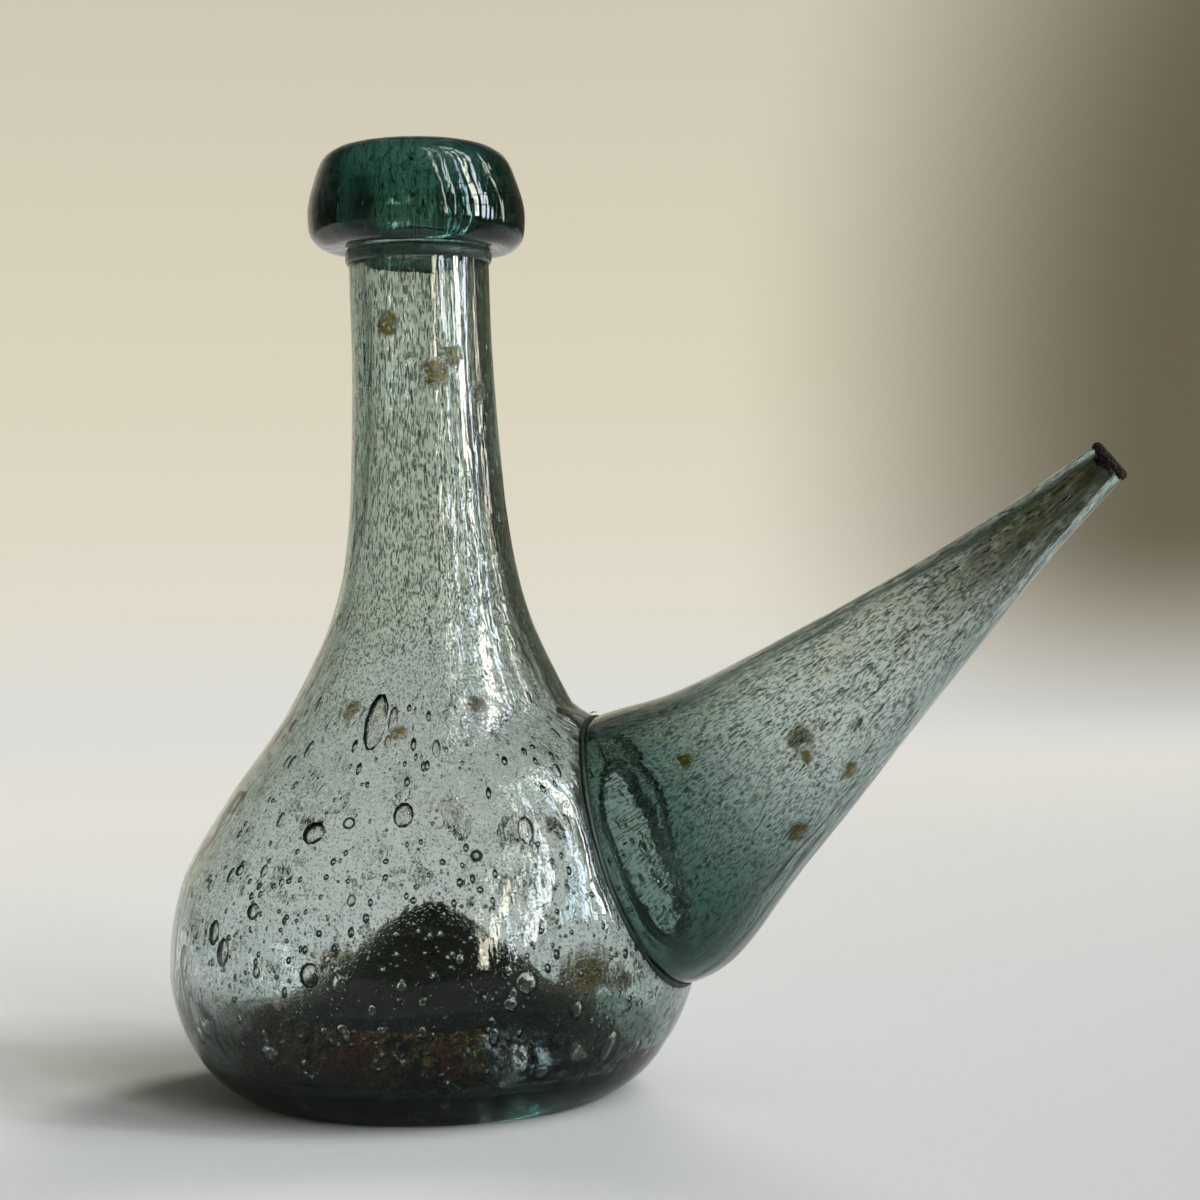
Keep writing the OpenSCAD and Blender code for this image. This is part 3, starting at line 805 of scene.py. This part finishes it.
root_start = float(ROOT @ AXIS)
spout_glass = glass("drawn_grey_green_glass", turn_y=-50.2,
                    round_to_drawn=(root_start - 14, root_start + 14),
                    dirt=[((94.8, -15.1, 64.9), 3.4), ((106.5, -13.1, 79.2), 2.4),
                          ((97.7, -20.2, 83.1), 2.2), ((70.3, -24.7, 82.2), 2.6),
                          ((88, 22, 84), 4.0)],
                    film=poured_film, root=(root_start - 4, root_start + 52, "#93AEA6"),
                    fleck=0.9, per_metre=860.0)
spout_tree = bubble_tree("drawn_seeds", spout_glass)
whole = np.arange(SPOUT_AROUND) * 2 * math.pi / SPOUT_AROUND
seed_rows = [(outer_foot + 2.5) * (1 - share) + 13.5 * share for share in np.linspace(0, 1, 7)[:-1]]
seed_rows += [np.full(SPOUT_AROUND, s) for s in np.arange(13.5, 138, 3.0)]
spout_seeds = scatter(spout_tree, [spout_point(s, spout_line, whole) for s in seed_rows], **{
    "Per square metre": 100000.0, "Depth least": -0.0014, "Depth most": -0.0006,
    "Radius least": 0.00015, "Radius most": 0.00042, "Flatness": 0.7,
    "Round below": 0.085, "Drawn above": 0.19, "Stretch round": 2.0, "Stretch drawn": 6.0,
    "Pull": tuple(AXIS), "Roundness": 1, "Seed": 21})
spout.data.materials.append(spout_glass)
join_into(spout, spout_seeds)
print("spout", len(spout_seeds.polygons) // 20, "seeds,",
      sum(len(p.vertices) - 2 for p in spout.data.polygons), "triangles")

# %% [markdown]
# ## Weld bead
# Where the two hot glasses met, they ran together in a line that is drawn dark.
# It is a fillet that follows the foot of the spout all round and touches both skins.

# %% The bead in the crease
def dark_glass(name, colour, deep, clear, rough, grain):
    """Nearly opaque fused glass: dull, dark, and uneven by the millimetre."""
    made, tree, mm = new_material(name)
    cloud = put(tree, "ShaderNodeTexNoise", {"Vector": mm, "Scale": grain, "Detail": 4.0,
                                             "Roughness": 0.65}).outputs["Fac"]
    spread = put(tree, "ShaderNodeMapRange", {"Value": cloud, "From Min": 0.35,
                                              "From Max": 0.65}).outputs[0]
    shade = put(tree, "ShaderNodeMix", {0: spread, 6: paint(colour), 7: paint(deep)},
                data_type="RGBA").outputs[2]
    dull = put(tree, "ShaderNodeMapRange", {"Value": cloud, "From Min": 0.3, "From Max": 0.7,
               "To Min": rough * 0.6, "To Max": min(1.0, rough * 1.4)}).outputs[0]
    bump = put(tree, "ShaderNodeBump", {"Height": cloud, "Strength": 0.8,
                                        "Distance": 0.0006}).outputs[0]
    surface = put(tree, "ShaderNodeBsdfPrincipled", {"Base Color": shade, "Roughness": dull,
                  "IOR": GLASS_IOR, "Transmission Weight": clear, "Normal": bump})
    put(tree, "ShaderNodeOutputMaterial", {"Surface": surface.outputs[0]})
    return made


weld_glass = dark_glass("dark_weld_glass", "#15261F", "#080F0C", 0.1, 0.4, 0.7)
crease = spout_point(outer_foot, spout_line, round_spout, 0.25, 13)
up_side = unit(spout_point(outer_foot + 1.0, spout_line, round_spout, 0.25, 13) - crease)
centre_line = crease.mean(0)
rings = []
size = 0.95 + 0.25 * lumps(crease[:, 0], crease[:, 1], crease[:, 2], (7, 7, 7), 2)
along = unit(np.roll(crease, -1, 0) - np.roll(crease, 1, 0))
away = np.cross(along, up_side)
away *= np.sign(np.einsum("ij,ij->i", away, crease - centre_line))[:, None]
for turn_by in np.radians([88, 66, 44, 22, 0, -22]):
    p = crease + (np.cos(turn_by) * away + np.sin(turn_by) * up_side) * size[:, None] * 0.9 + away * 0.05
    rings.append(p)
rings.append(crease + away * 0.12 + up_side * 0.05)
for ring in rings:
    for _ in range(4):
        short = np.clip(GAP - clear_of_body(ring), 0, None)
        ring += short[:, None] * NORMAL
bead = show("weld_bead", skin("weld_bead", [list(map(tuple, r)) for r in rings], loop=True), weld_glass)
print("bead", len(bead.data.vertices), "points")

# %% [markdown]
# ## Lip of the port
# The glass that the piercing tool pushed outwards stands round the hole as a soft, uneven lip.
# Seen through the spout it is a dark double line, because its round section bends light away.

# %% The lip
lip_rings = []
for a in np.arange(96) * 2 * math.pi / 96:
    hole = port_radius(a)
    tall = 1.6 + 0.3 * math.sin(3 * a + 1)
    wide = 1.9
    section = []
    for b in np.radians(np.linspace(0, 180, 11)):
        section.append(on_seat(hole + 0.1 + wide * (1 - math.cos(b)) / 2, a,
                               GAP + tall * math.sin(b) ** 0.8))
    lip_rings.append(section)
lip_rings = [[lip_rings[i][k] for i in range(96)] for k in range(11)]
lip_glass = glass("pushed_out_lip_glass", tint="#D3E4DD", fleck=0.2, wave=0.8)
lip = show("port_rim", skin("port_rim", lip_rings, loop=True), lip_glass)
print("lip stands", round(max((p - SEAT) @ NORMAL for r in lip_rings for p in r), 2), "mm proud")

# %% [markdown]
# ## Collar
# The collar is a thick lump of the same glass, rolled over the end of the neck and pressed down.
# It looks dark teal only because there are 27 millimetres of it in line. Its outside wanders by
# half a millimetre, and its underside is a little higher on one side, as a hand leaves it.

# %% The collar
collar_line = curve_through([(16.5, 231), (22.4, 228.4), (25.5, 221.5), (27.0, 212.4),
                             (26.2, 208.0), (22.4, 205.5)], (1, -0.10), (-1, -0.05))
mouth = [(13.5, 206.0), (13.5, 210), (13.5, 213), (13.2, 214.6), (12.7, 216), (12.5, 217.5),
         (12.5, 221), (12.5, 225), (12.5, 228.4)]
mouth += [(15 - 2.5 * math.cos(a), 228.5 + 2.5 * math.sin(a)) for a in np.radians([15, 40, 65, 88])]
under = [(19.8, 205.6), (18.5, 205.75), (17.6, 205.9), (17.3, 206.0), (15.4, 206.0)]
rings = []
for r, z in mouth + even(collar_line, 1.1).tolist() + under:
    on_outside = r > 17.5
    radius = np.full(AROUND, float(r))
    up = np.full(AROUND, float(z))
    if on_outside:
        radius += 0.5 * (lumps(r * cos_t, r * sin_t, up, (19, 19, 30), 61) - 0.6)
        radius += 0.14 * lumps(r * cos_t, r * sin_t, up, (5, 5, 30), 67)
    if z > 213:                            # the top is not quite level
        up += (z - 213) / 18 * (0.3 * lumps(r * cos_t, r * sin_t, up, (16, 16, 40), 83) - 0.32)
    if on_outside and z < 213:             # the underside is higher away from the spout
        up += (213 - z) / 9 * (-0.55 * cos_t) * min(1.0, (r - 17.5) / 4) * (r / 27)
        up += (213 - z) / 9 * 0.25 * lumps(r * cos_t, r * sin_t, up, (9, 9, 40), 91) * min(
            1.0, (r - 17.5) / 4)
    rings.append(list(zip(radius * cos_t + lean(z), radius * sin_t, up)))
collar_glass = glass("thick_teal_glass", round_to_drawn=(150, 190), tint="#EAF8F3", fleck=0.8,
                     wave=0.7, per_metre=900.0)
collar = show("rolled_collar", skin("rolled_collar", rings, loop=True), collar_glass)
collar_tree = bubble_tree("collar_seeds", collar_glass)
collar_seeds = scatter(collar_tree, [[(r * c + lean(z), r * s, z) for c, s in zip(cos_t, sin_t)]
                                     for r, z in even(collar_line[4:-6], 2.0)], **{
    "Per square metre": 90000.0, "Depth least": -0.0055, "Depth most": -0.0012,
    "Radius least": 0.00012, "Radius most": 0.00045, "Flatness": 0.8,
    "Round below": 0.15, "Drawn above": 0.19, "Stretch round": 1.5, "Stretch drawn": 3.4,
    "Pull": (0.0, 0.0, 1.0), "Roundness": 1, "Seed": 31})
join_into(collar, collar_seeds)
print("collar", len(collar.data.vertices), "points,", len(collar_seeds.polygons) // 20, "seeds")

# %% [markdown]
# ## Wrap under the collar
# A thread of glass was trailed round the neck before the collar was rolled down on to it, and a
# dark ring of it still shows below the lip.

# %% The wrap
rings = []
for b in np.radians(np.linspace(90, -90, 9)):
    thick = 1.0 * (0.75 + 0.3 * lumps(cos_t * 18, sin_t * 18, cos_t * 0, (6, 6, 6), 7))
    radius = 17.34 + thick * math.cos(b) ** 0.8 if abs(b) < 1.5 else np.full(AROUND, 17.34)
    up = 203.75 + 1.7 * math.sin(b) + 0.2 * lumps(cos_t * 18, sin_t * 18, cos_t * 0, (9, 9, 9), 17)
    rings.append(list(zip(radius * cos_t + lean(203), radius * sin_t, up)))
wrap_glass = dark_glass("wrapped_thread_glass", "#6C8E7F", "#3E5F52", 0.85, 0.15, 0.5)
wrap = show("wrap_thread", skin("wrap_thread", rings, loop=True), wrap_glass)
print("wrap", len(wrap.data.vertices), "points")

# %% [markdown]
# ## Pontil scar
# While the collar was made, an iron rod held the flask by its base. Knocking it off left a rough
# ring of broken glass under the peak.

# %% The scar
rings = []
for k, (r, z) in enumerate([(5.2, peak(5.2) - 5.05), (7.0, peak(7.0) - 5.05), (8.8, peak(8.8) - 5.05),
                            (8.6, 35.6), (7.8, 34.6), (6.9, 34.3), (6.0, 34.8), (5.5, 35.8)]):
    up = np.full(64, float(z))
    angle = np.arange(64) * 2 * math.pi / 64
    if k > 2:
        up += 0.55 * lumps(np.cos(angle) * 8, np.sin(angle) * 8, angle * 0, (2.2, 2.2, 2.2), 3 + k)
    else:
        up -= 0.15
    rings.append(list(zip(r * np.cos(angle), r * np.sin(angle), up)))
# Painted shade: the scar's dark green stands for the shaded hollow under the peak, on top of broken glass
scar_glass = dark_glass("broken_pontil_glass", "#33564A", "#12241D", 0.35, 0.5, 0.9)
scar = show("pontil_ring", skin("pontil_ring", rings, loop=True), scar_glass)
scar.data.set_sharp_from_angle(angle=math.radians(35))
print("scar", len(scar.data.vertices), "points")

# %% [markdown]
# ## Dried residue
# What was kept in the flask dried out in the gutter round the peak, as a crust of brown and red
# grains. It thins to nothing at its edges, so the film is patchy there, and grains stand on it.

# %% The residue
def dried(name, light, dark, red, patchy):
    """Dry mineral crust: matt, granular at half a millimetre, brown with redder places."""
    made, tree, mm = new_material(name)
    grains = put(tree, "ShaderNodeTexVoronoi", {"Vector": mm, "Scale": 1.3}).outputs["Distance"]
    # The cloud is moved aside so that its red places lie about where the photograph has them
    aside = put(tree, "ShaderNodeVectorMath", {0: mm, 1: (11.6, 3.1, 0.0)}).outputs[0]
    cloud = put(tree, "ShaderNodeTexNoise", {"Vector": aside, "Scale": 0.07, "Detail": 4.0,
                                             "Roughness": 0.6}).outputs["Fac"]
    redder = put(tree, "ShaderNodeMapRange", {"Value": cloud, "From Min": 0.48,
                                              "From Max": 0.58}).outputs[0]
    base = put(tree, "ShaderNodeMix", {0: grains, 6: paint(dark), 7: paint(light)},
               data_type="RGBA").outputs[2]
    base = put(tree, "ShaderNodeMix", {0: redder, 6: base, 7: paint(red)},
               data_type="RGBA").outputs[2]
    bump = put(tree, "ShaderNodeBump", {"Height": grains, "Strength": 1.0,
                                        "Distance": 0.0008}).outputs[0]
    sockets = {"Base Color": base, "Roughness": 0.9, "Normal": bump}
    if patchy:
        fine = put(tree, "ShaderNodeTexNoise", {"Vector": mm, "Scale": 0.42, "Detail": 5.0,
                                                "Roughness": 0.7}).outputs["Fac"]
        both = put(tree, "ShaderNodeMath", {0: fine, 1: cloud}, operation="ADD").outputs[0]
        sockets["Alpha"] = put(tree, "ShaderNodeMapRange", {"Value": both, "From Min": 0.90,
                               "From Max": 1.0}).outputs[0]
    surface = put(tree, "ShaderNodeBsdfPrincipled", sockets)
    put(tree, "ShaderNodeOutputMaterial", {"Surface": surface.outputs[0]})
    return made


residue_dirt = dried("dried_residue", "#94762A", "#3A2E0C", "#5E2408", True)
bed = even(np.vstack([[(39.0, peak(39.0)), (40.0, peak(40.0))],
                      curve_through([(41, peak(41.0)), (50, 9), (54.6, 13.6)], (1, -0.742), (1, 1.2))]),
           0.9)
bed = bed[(bed[:, 0] > 39.6) & (bed[:, 0] < 54.0)]
up_from_glass = -across(bed)
up_from_glass *= np.sign(up_from_glass[:, 1:2])
sweep = np.radians(np.linspace(-160, -55, 106))
top_rows, low_rows = [], []
for (r, z), (nr, nz) in zip(bed, up_from_glass):
    edge = math.sin(math.pi * np.clip((r - 39.6) / 14.4, 0, 1)) ** 0.6
    x, y = r * np.cos(sweep), r * np.sin(sweep)
    ends = np.clip(np.minimum(sweep - sweep[0], sweep[-1] - sweep) / 0.25, 0, 1)
    heap = 0.34 + edge * ends * (0.35 + 0.3 * lumps(x, y, x * 0, (1.6, 1.6, 1.6), 5))
    for rows, rise_by in ((top_rows, heap), (low_rows, np.full(len(sweep), 0.22))):
        rr = r + nr * rise_by
        rows.append(np.stack([rr * np.cos(sweep), rr * np.sin(sweep), z + nz * rise_by], 1))
grid = top_rows + low_rows[::-1]
work = bmesh.new()
table = [[work.verts.new(tuple(c * MM for c in p)) for p in row] for row in grid]
n_rows, n_cols = len(grid), len(sweep)
for i in range(n_rows):
    for j in range(n_cols - 1):
        k = (i + 1) % n_rows
        work.faces.new((table[i][j], table[i][j + 1], table[k][j + 1], table[k][j]))
half = len(top_rows)
for j in (0, n_cols - 1):
    for i in range(half - 1):
        work.faces.new((table[i][j], table[i + 1][j], table[n_rows - 2 - i][j],
                        table[n_rows - 1 - i][j]))
bmesh.ops.recalc_face_normals(work, faces=work.faces)
residue_mesh = bpy.data.meshes.new("dried_residue")
work.to_mesh(residue_mesh)
work.free()
residue_mesh.shade_smooth()
residue = show("dried_residue", residue_mesh, residue_dirt)
print("residue", len(residue_mesh.vertices), "points")

# %% [markdown]
# ## Crust on the tip
# The spout's end was cracked off and never fire-polished; the broken edge is caked with dark
# crust, thicker at the top and the bottom of the ring.

# %% The crust
crust_dirt = dried("dark_crust", "#241A0E", "#080503", "#160C06", False)
angle = np.arange(96) * 2 * math.pi / 96
over_the_edge = [(5.1, 144.3), (5.3, 144.9), (5.25, 145.5), (4.85, 146.05), (4.1, 146.25),
                 (3.35, 146.05), (2.85, 145.4), (2.65, 144.2), (2.8, 142.9)]
on_the_glass = [(3.1, 142.9), (3.12, 144.4), (3.2, 145.45), (3.9, 145.56), (4.7, 145.56),
                (4.98, 145.2), (4.98, 144.3)]
rings = []
for k, (r, s) in enumerate(over_the_edge + on_the_glass):
    free = 1.0 if k < len(over_the_edge) else 0.0
    grain = lumps(np.cos(angle) * 4.5, np.sin(angle) * 4.5, angle * 0 + 0.7 * k, (0.9, 0.9, 1.2), 19)
    ragged = lumps(np.cos(angle) * 4.5, np.sin(angle) * 4.5, angle * 0, (1.6, 1.6, 1.6), 29)
    r_i = r + free * 0.16 * grain * (1 if r > 4 else -1)
    s_i = s + free * 0.18 * grain + (0.9 * (ragged - 0.3) if s < 144.6 else 0.0)
    rings.append([tuple(ROOT + b * AXIS + c * (math.cos(a) * TOPWARD + math.sin(a) * ACROSS))
                  for b, c, a in zip(s_i, r_i + 0 * s_i, angle)])
crust = show("tip_crust_grains", skin("tip_crust_grains", rings, loop=True), crust_dirt)
print("crust", len(crust.data.vertices), "points")

# %% [markdown]
# ## Table and backdrop
# The photograph's ground is a pale sheet that runs up into a cream wall, darker to the right.
# Here the floor is a matt disc that fades out two metres off, with painted light that makes it a
# little lighter towards the back left and painted shade in front of the flask where glass mirrors
# it, and the wall is the world itself, painted by direction, so that every view finds the same
# surroundings; its darker right is a painted shadow. High up the world is dimmer, as a ceiling is.
# The room on the camera's side is dark too, as the glass sees it, and both give the glass its dark edges.

# %% Floor and world
def stage_floor():
    made = bpy.data.materials.new("matt_paper")
    made.use_nodes = True
    tree = made.node_tree
    tree.nodes.clear()
    where = put(tree, "ShaderNodeTexCoord").outputs["Object"]
    grain = put(tree, "ShaderNodeTexNoise", {"Vector": where, "Scale": 500.0,
                                             "Detail": 2.0}).outputs["Fac"]
    # Painted light: the sheet is a little lighter towards the back left
    back = put(tree, "ShaderNodeVectorMath", {0: where, 1: (-0.80, 0.60, 0.0)},
               operation="DOT_PRODUCT").outputs["Value"]
    back = put(tree, "ShaderNodeMapRange", {"Value": back, "From Min": -0.20, "From Max": 0.60}).outputs[0]
    sheet = put(tree, "ShaderNodeMix", {0: back, 6: paint("#CDD0D2"), 7: paint("#D3D2CE")},
                data_type="RGBA").outputs[2]
    shade = put(tree, "ShaderNodeMapRange", {"Value": grain, "To Min": 0.95, "To Max": 1.0}).outputs[0]
    tint = put(tree, "ShaderNodeVectorMath", {0: sheet, "Scale": shade}, operation="SCALE").outputs[0]
    # Painted shade: in front of the flask the sheet's colour is darkened for rays that glass mirrors, as
    # if it lay in the dim room
    front = put(tree, "ShaderNodeVectorMath", {0: where, 1: (0.33, -0.944, 0.0)},
                operation="DOT_PRODUCT").outputs["Value"]
    front = put(tree, "ShaderNodeMapRange", {"Value": front, "From Min": -0.04, "From Max": 0.08},
                interpolation_type="SMOOTHSTEP").outputs[0]
    in_glass = put(tree, "ShaderNodeLightPath").outputs["Is Glossy Ray"]
    front = put(tree, "ShaderNodeMath", {0: front, 1: in_glass}, operation="MULTIPLY").outputs[0]
    painted_mirror_shade = put(tree, "ShaderNodeMapRange", {"Value": front, "To Min": 1.0, "To Max": 0.35}).outputs[0]
    tint = put(tree, "ShaderNodeVectorMath", {0: tint, "Scale": painted_mirror_shade}, operation="SCALE").outputs[0]
    matt = put(tree, "ShaderNodeBsdfDiffuse", {"Color": tint, "Roughness": 0.6}).outputs[0]
    gone = put(tree, "ShaderNodeBsdfTransparent").outputs[0]
    far = put(tree, "ShaderNodeVectorMath", {0: where}, operation="LENGTH").outputs["Value"]
    fade = put(tree, "ShaderNodeMapRange", {"Value": far, "From Min": 0.7, "From Max": 2.1},
               interpolation_type="SMOOTHSTEP").outputs[0]
    both = put(tree, "ShaderNodeMixShader", {0: fade, 1: matt, 2: gone})
    put(tree, "ShaderNodeOutputMaterial", {"Surface": both.outputs[0]})
    return made


work = bmesh.new()
bmesh.ops.create_circle(work, cap_ends=True, segments=96, radius=2.2)
floor_mesh = bpy.data.meshes.new("floor")
work.to_mesh(floor_mesh)
work.free()
for v in floor_mesh.vertices:
    v.co.z = -0.0002
floor = show("floor", floor_mesh, stage_floor())

world = bpy.data.worlds.new("studio")
bpy.context.scene.world = world
world.use_nodes = True
tree = world.node_tree
tree.nodes.clear()
direction = put(tree, "ShaderNodeTexCoord").outputs["Generated"]
rise_of = put(tree, "ShaderNodeSeparateXYZ", {0: direction}).outputs
by_height = put(tree, "ShaderNodeMapRange", {"Value": rise_of["Z"], "From Min": -0.2,
                                             "From Max": 0.8}).outputs[0]
ramp = put(tree, "ShaderNodeValToRGB", {0: by_height})
stops = [(0.0, "#D8D9D7"), (0.155, "#DCDCD9"), (0.20, "#E0DBCB"), (0.30, "#DAD3BD"),
         (0.40, "#D3CCB8"), (0.54, "#C6BFAB"), (0.66, "#8E8B80"), (0.80, "#77756C")]
ramp.color_ramp.elements[0].color = paint(stops[0][1])
ramp.color_ramp.elements[1].color = paint(stops[-1][1])
ramp.color_ramp.elements[1].position = stops[-1][0]
for at, code in stops[1:-1]:
    ramp.color_ramp.elements.new(at).color = paint(code)
# Painted shadow: a soft dark patch on the wall to the right, above the floor
side = put(tree, "ShaderNodeVectorMath", {0: direction, 1: (math.cos(math.radians(72)),
           math.sin(math.radians(72)), 0.06)}, operation="DOT_PRODUCT").outputs["Value"]
shade = put(tree, "ShaderNodeMapRange", {"Value": side, "From Min": 0.865, "From Max": 0.945},
            interpolation_type="SMOOTHSTEP").outputs[0]
off_floor = put(tree, "ShaderNodeMapRange", {"Value": rise_of["Z"], "From Min": -0.083,
                "From Max": 0.031}, interpolation_type="SMOOTHSTEP").outputs[0]
amount = put(tree, "ShaderNodeMath", {0: shade, 1: off_floor}, operation="MULTIPLY").outputs[0]
amount = put(tree, "ShaderNodeMath", {0: amount, 1: 0.97}, operation="MULTIPLY").outputs[0]
wall_colour = put(tree, "ShaderNodeMix", {0: amount, 6: ramp.outputs[0], 7: paint("#635B48")},
                  data_type="RGBA").outputs[2]
# The room in front of the glass is dim: mirrored in the glass it is dark, and it lights little
room = put(tree, "ShaderNodeVectorMath", {0: direction, 1: (0.33, -0.944, 0.0)},
           operation="DOT_PRODUCT").outputs["Value"]
light_path = put(tree, "ShaderNodeLightPath").outputs
starts = put(tree, "ShaderNodeMapRange", {"Value": light_path["Is Glossy Ray"],
             "To Min": -0.40, "To Max": -0.95}).outputs[0]
ends = put(tree, "ShaderNodeMapRange", {"Value": light_path["Is Glossy Ray"],
           "To Min": 0.30, "To Max": -0.45}).outputs[0]
room = put(tree, "ShaderNodeMapRange", {"Value": room, "From Min": starts, "From Max": ends},
           interpolation_type="SMOOTHSTEP").outputs[0]
mirrored = put(tree, "ShaderNodeMath", {0: light_path["Is Glossy Ray"],
               1: light_path["Is Transmission Ray"]}, operation="SUBTRACT").outputs[0]
dim = put(tree, "ShaderNodeMapRange", {"Value": mirrored, "To Min": 0.70, "To Max": 0.92}).outputs[0]
dim = put(tree, "ShaderNodeMath", {0: dim, 1: room}, operation="MULTIPLY").outputs[0]
indirect = put(tree, "ShaderNodeMath", {0: 1.0, 1: light_path["Is Camera Ray"]},
               operation="SUBTRACT").outputs[0]
dim = put(tree, "ShaderNodeMath", {0: dim, 1: indirect}, operation="MULTIPLY").outputs[0]
level = put(tree, "ShaderNodeMath", {0: 1.0, 1: dim}, operation="SUBTRACT").outputs[0]
glow = put(tree, "ShaderNodeBackground", {"Color": wall_colour, "Strength": level})
put(tree, "ShaderNodeOutputWorld", {"Surface": glow.outputs[0]})
print("world with", len(stops), "stops of height")

# %% [markdown]
# ## Window light
# A row of tall windows stands to the right, and all the highlights on the glass are their
# reflections: streaks down the neck, a fan of them on the shoulder and a patch on the belly. One
# is the brightest, and its neighbour is bluish. They go up past the level where the shoulder
# mirrors them. A soft light high at the back right throws the shadow to the front left; the
# glass doesn't mirror it. Each window is a column of panes with bars between, six metres off so
# that the floor is lit evenly, and a pane's power follows from its brightness in the glass.

# %% The windows
def window(name, way, wide, low, high, rows, bright, tint, mirrored=True):
    """Panes round a way (degrees from +X), wide degrees across, from one height angle to another."""
    away, angle = 6.0, math.radians(way)
    tall = math.radians(high - low) / rows
    for row in range(rows):
        up = math.radians(low) + (row + 0.5) * tall
        data = bpy.data.lights.new(f"{name}_{row}", "AREA")
        data.shape = "RECTANGLE"
        data.size = away * math.radians(wide) * math.cos(up) * 0.9
        data.size_y = away * tall * 0.92
        data.color = paint(tint)[:3]
        radiance = bright * (1.0 - 0.5 * row / rows)
        data.energy = radiance * math.pi * data.size * data.size_y
        pane = bpy.data.objects.new(data.name, data)
        pane.location = (away * math.cos(up) * math.cos(angle),
                         away * math.cos(up) * math.sin(angle), 0.06 + away * math.sin(up))
        pane.rotation_euler = (math.radians(90) - up, 0, angle + math.radians(90))
        pane.visible_camera = False
        pane.visible_glossy = pane.visible_transmission = mirrored
        bpy.context.scene.collection.objects.link(pane)
    return rows


panes = window("gap", -47, 2.5, 2, 70, 6, 13.0, "#FFF6E0")
panes += window("side", -36, 4.5, 2, 70, 6, 14.0, "#F4F8FF")
panes += window("blue", -17, 3.5, 2, 70, 6, 15.0, "#D6E6FF")
panes += window("near", -5, 6, 2, 70, 6, 24.0, "#FFFBF2")
panes += window("sky", 8, 5, 2, 70, 6, 18.0, "#E4EEFF")
panes += window("far", 30, 3, 2, 50, 4, 11.0, "#FFF8EA")
panes += window("back", 66, 28, 36, 58, 1, 20.0, "#FFF9EE", mirrored=False)
print(panes, "panes")

# %% [markdown]
# ## Attach the pieces
# Each piece rides on the flask's one body and stands for the node that it replaces, which is hidden.

# %% Ride and replace
for piece, node, slot in ((body, "flask_body", "body_glass"), (collar, "collar", "collar_glass"),
                          (wrap, "neck_wrap", "collar_glass"), (spout, "spout", "spout_glass"),
                          (bead, "spout_weld", "weld_glass"), (lip, "port_lip", "spout_glass"),
                          (scar, "pontil_scar", "scar_glass"),
                          (residue, "base_residue", "residue"),
                          (crust, "tip_crust", "crust")):
    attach(piece, "root")
    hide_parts(node)
    print(piece.name, "stands for", node)
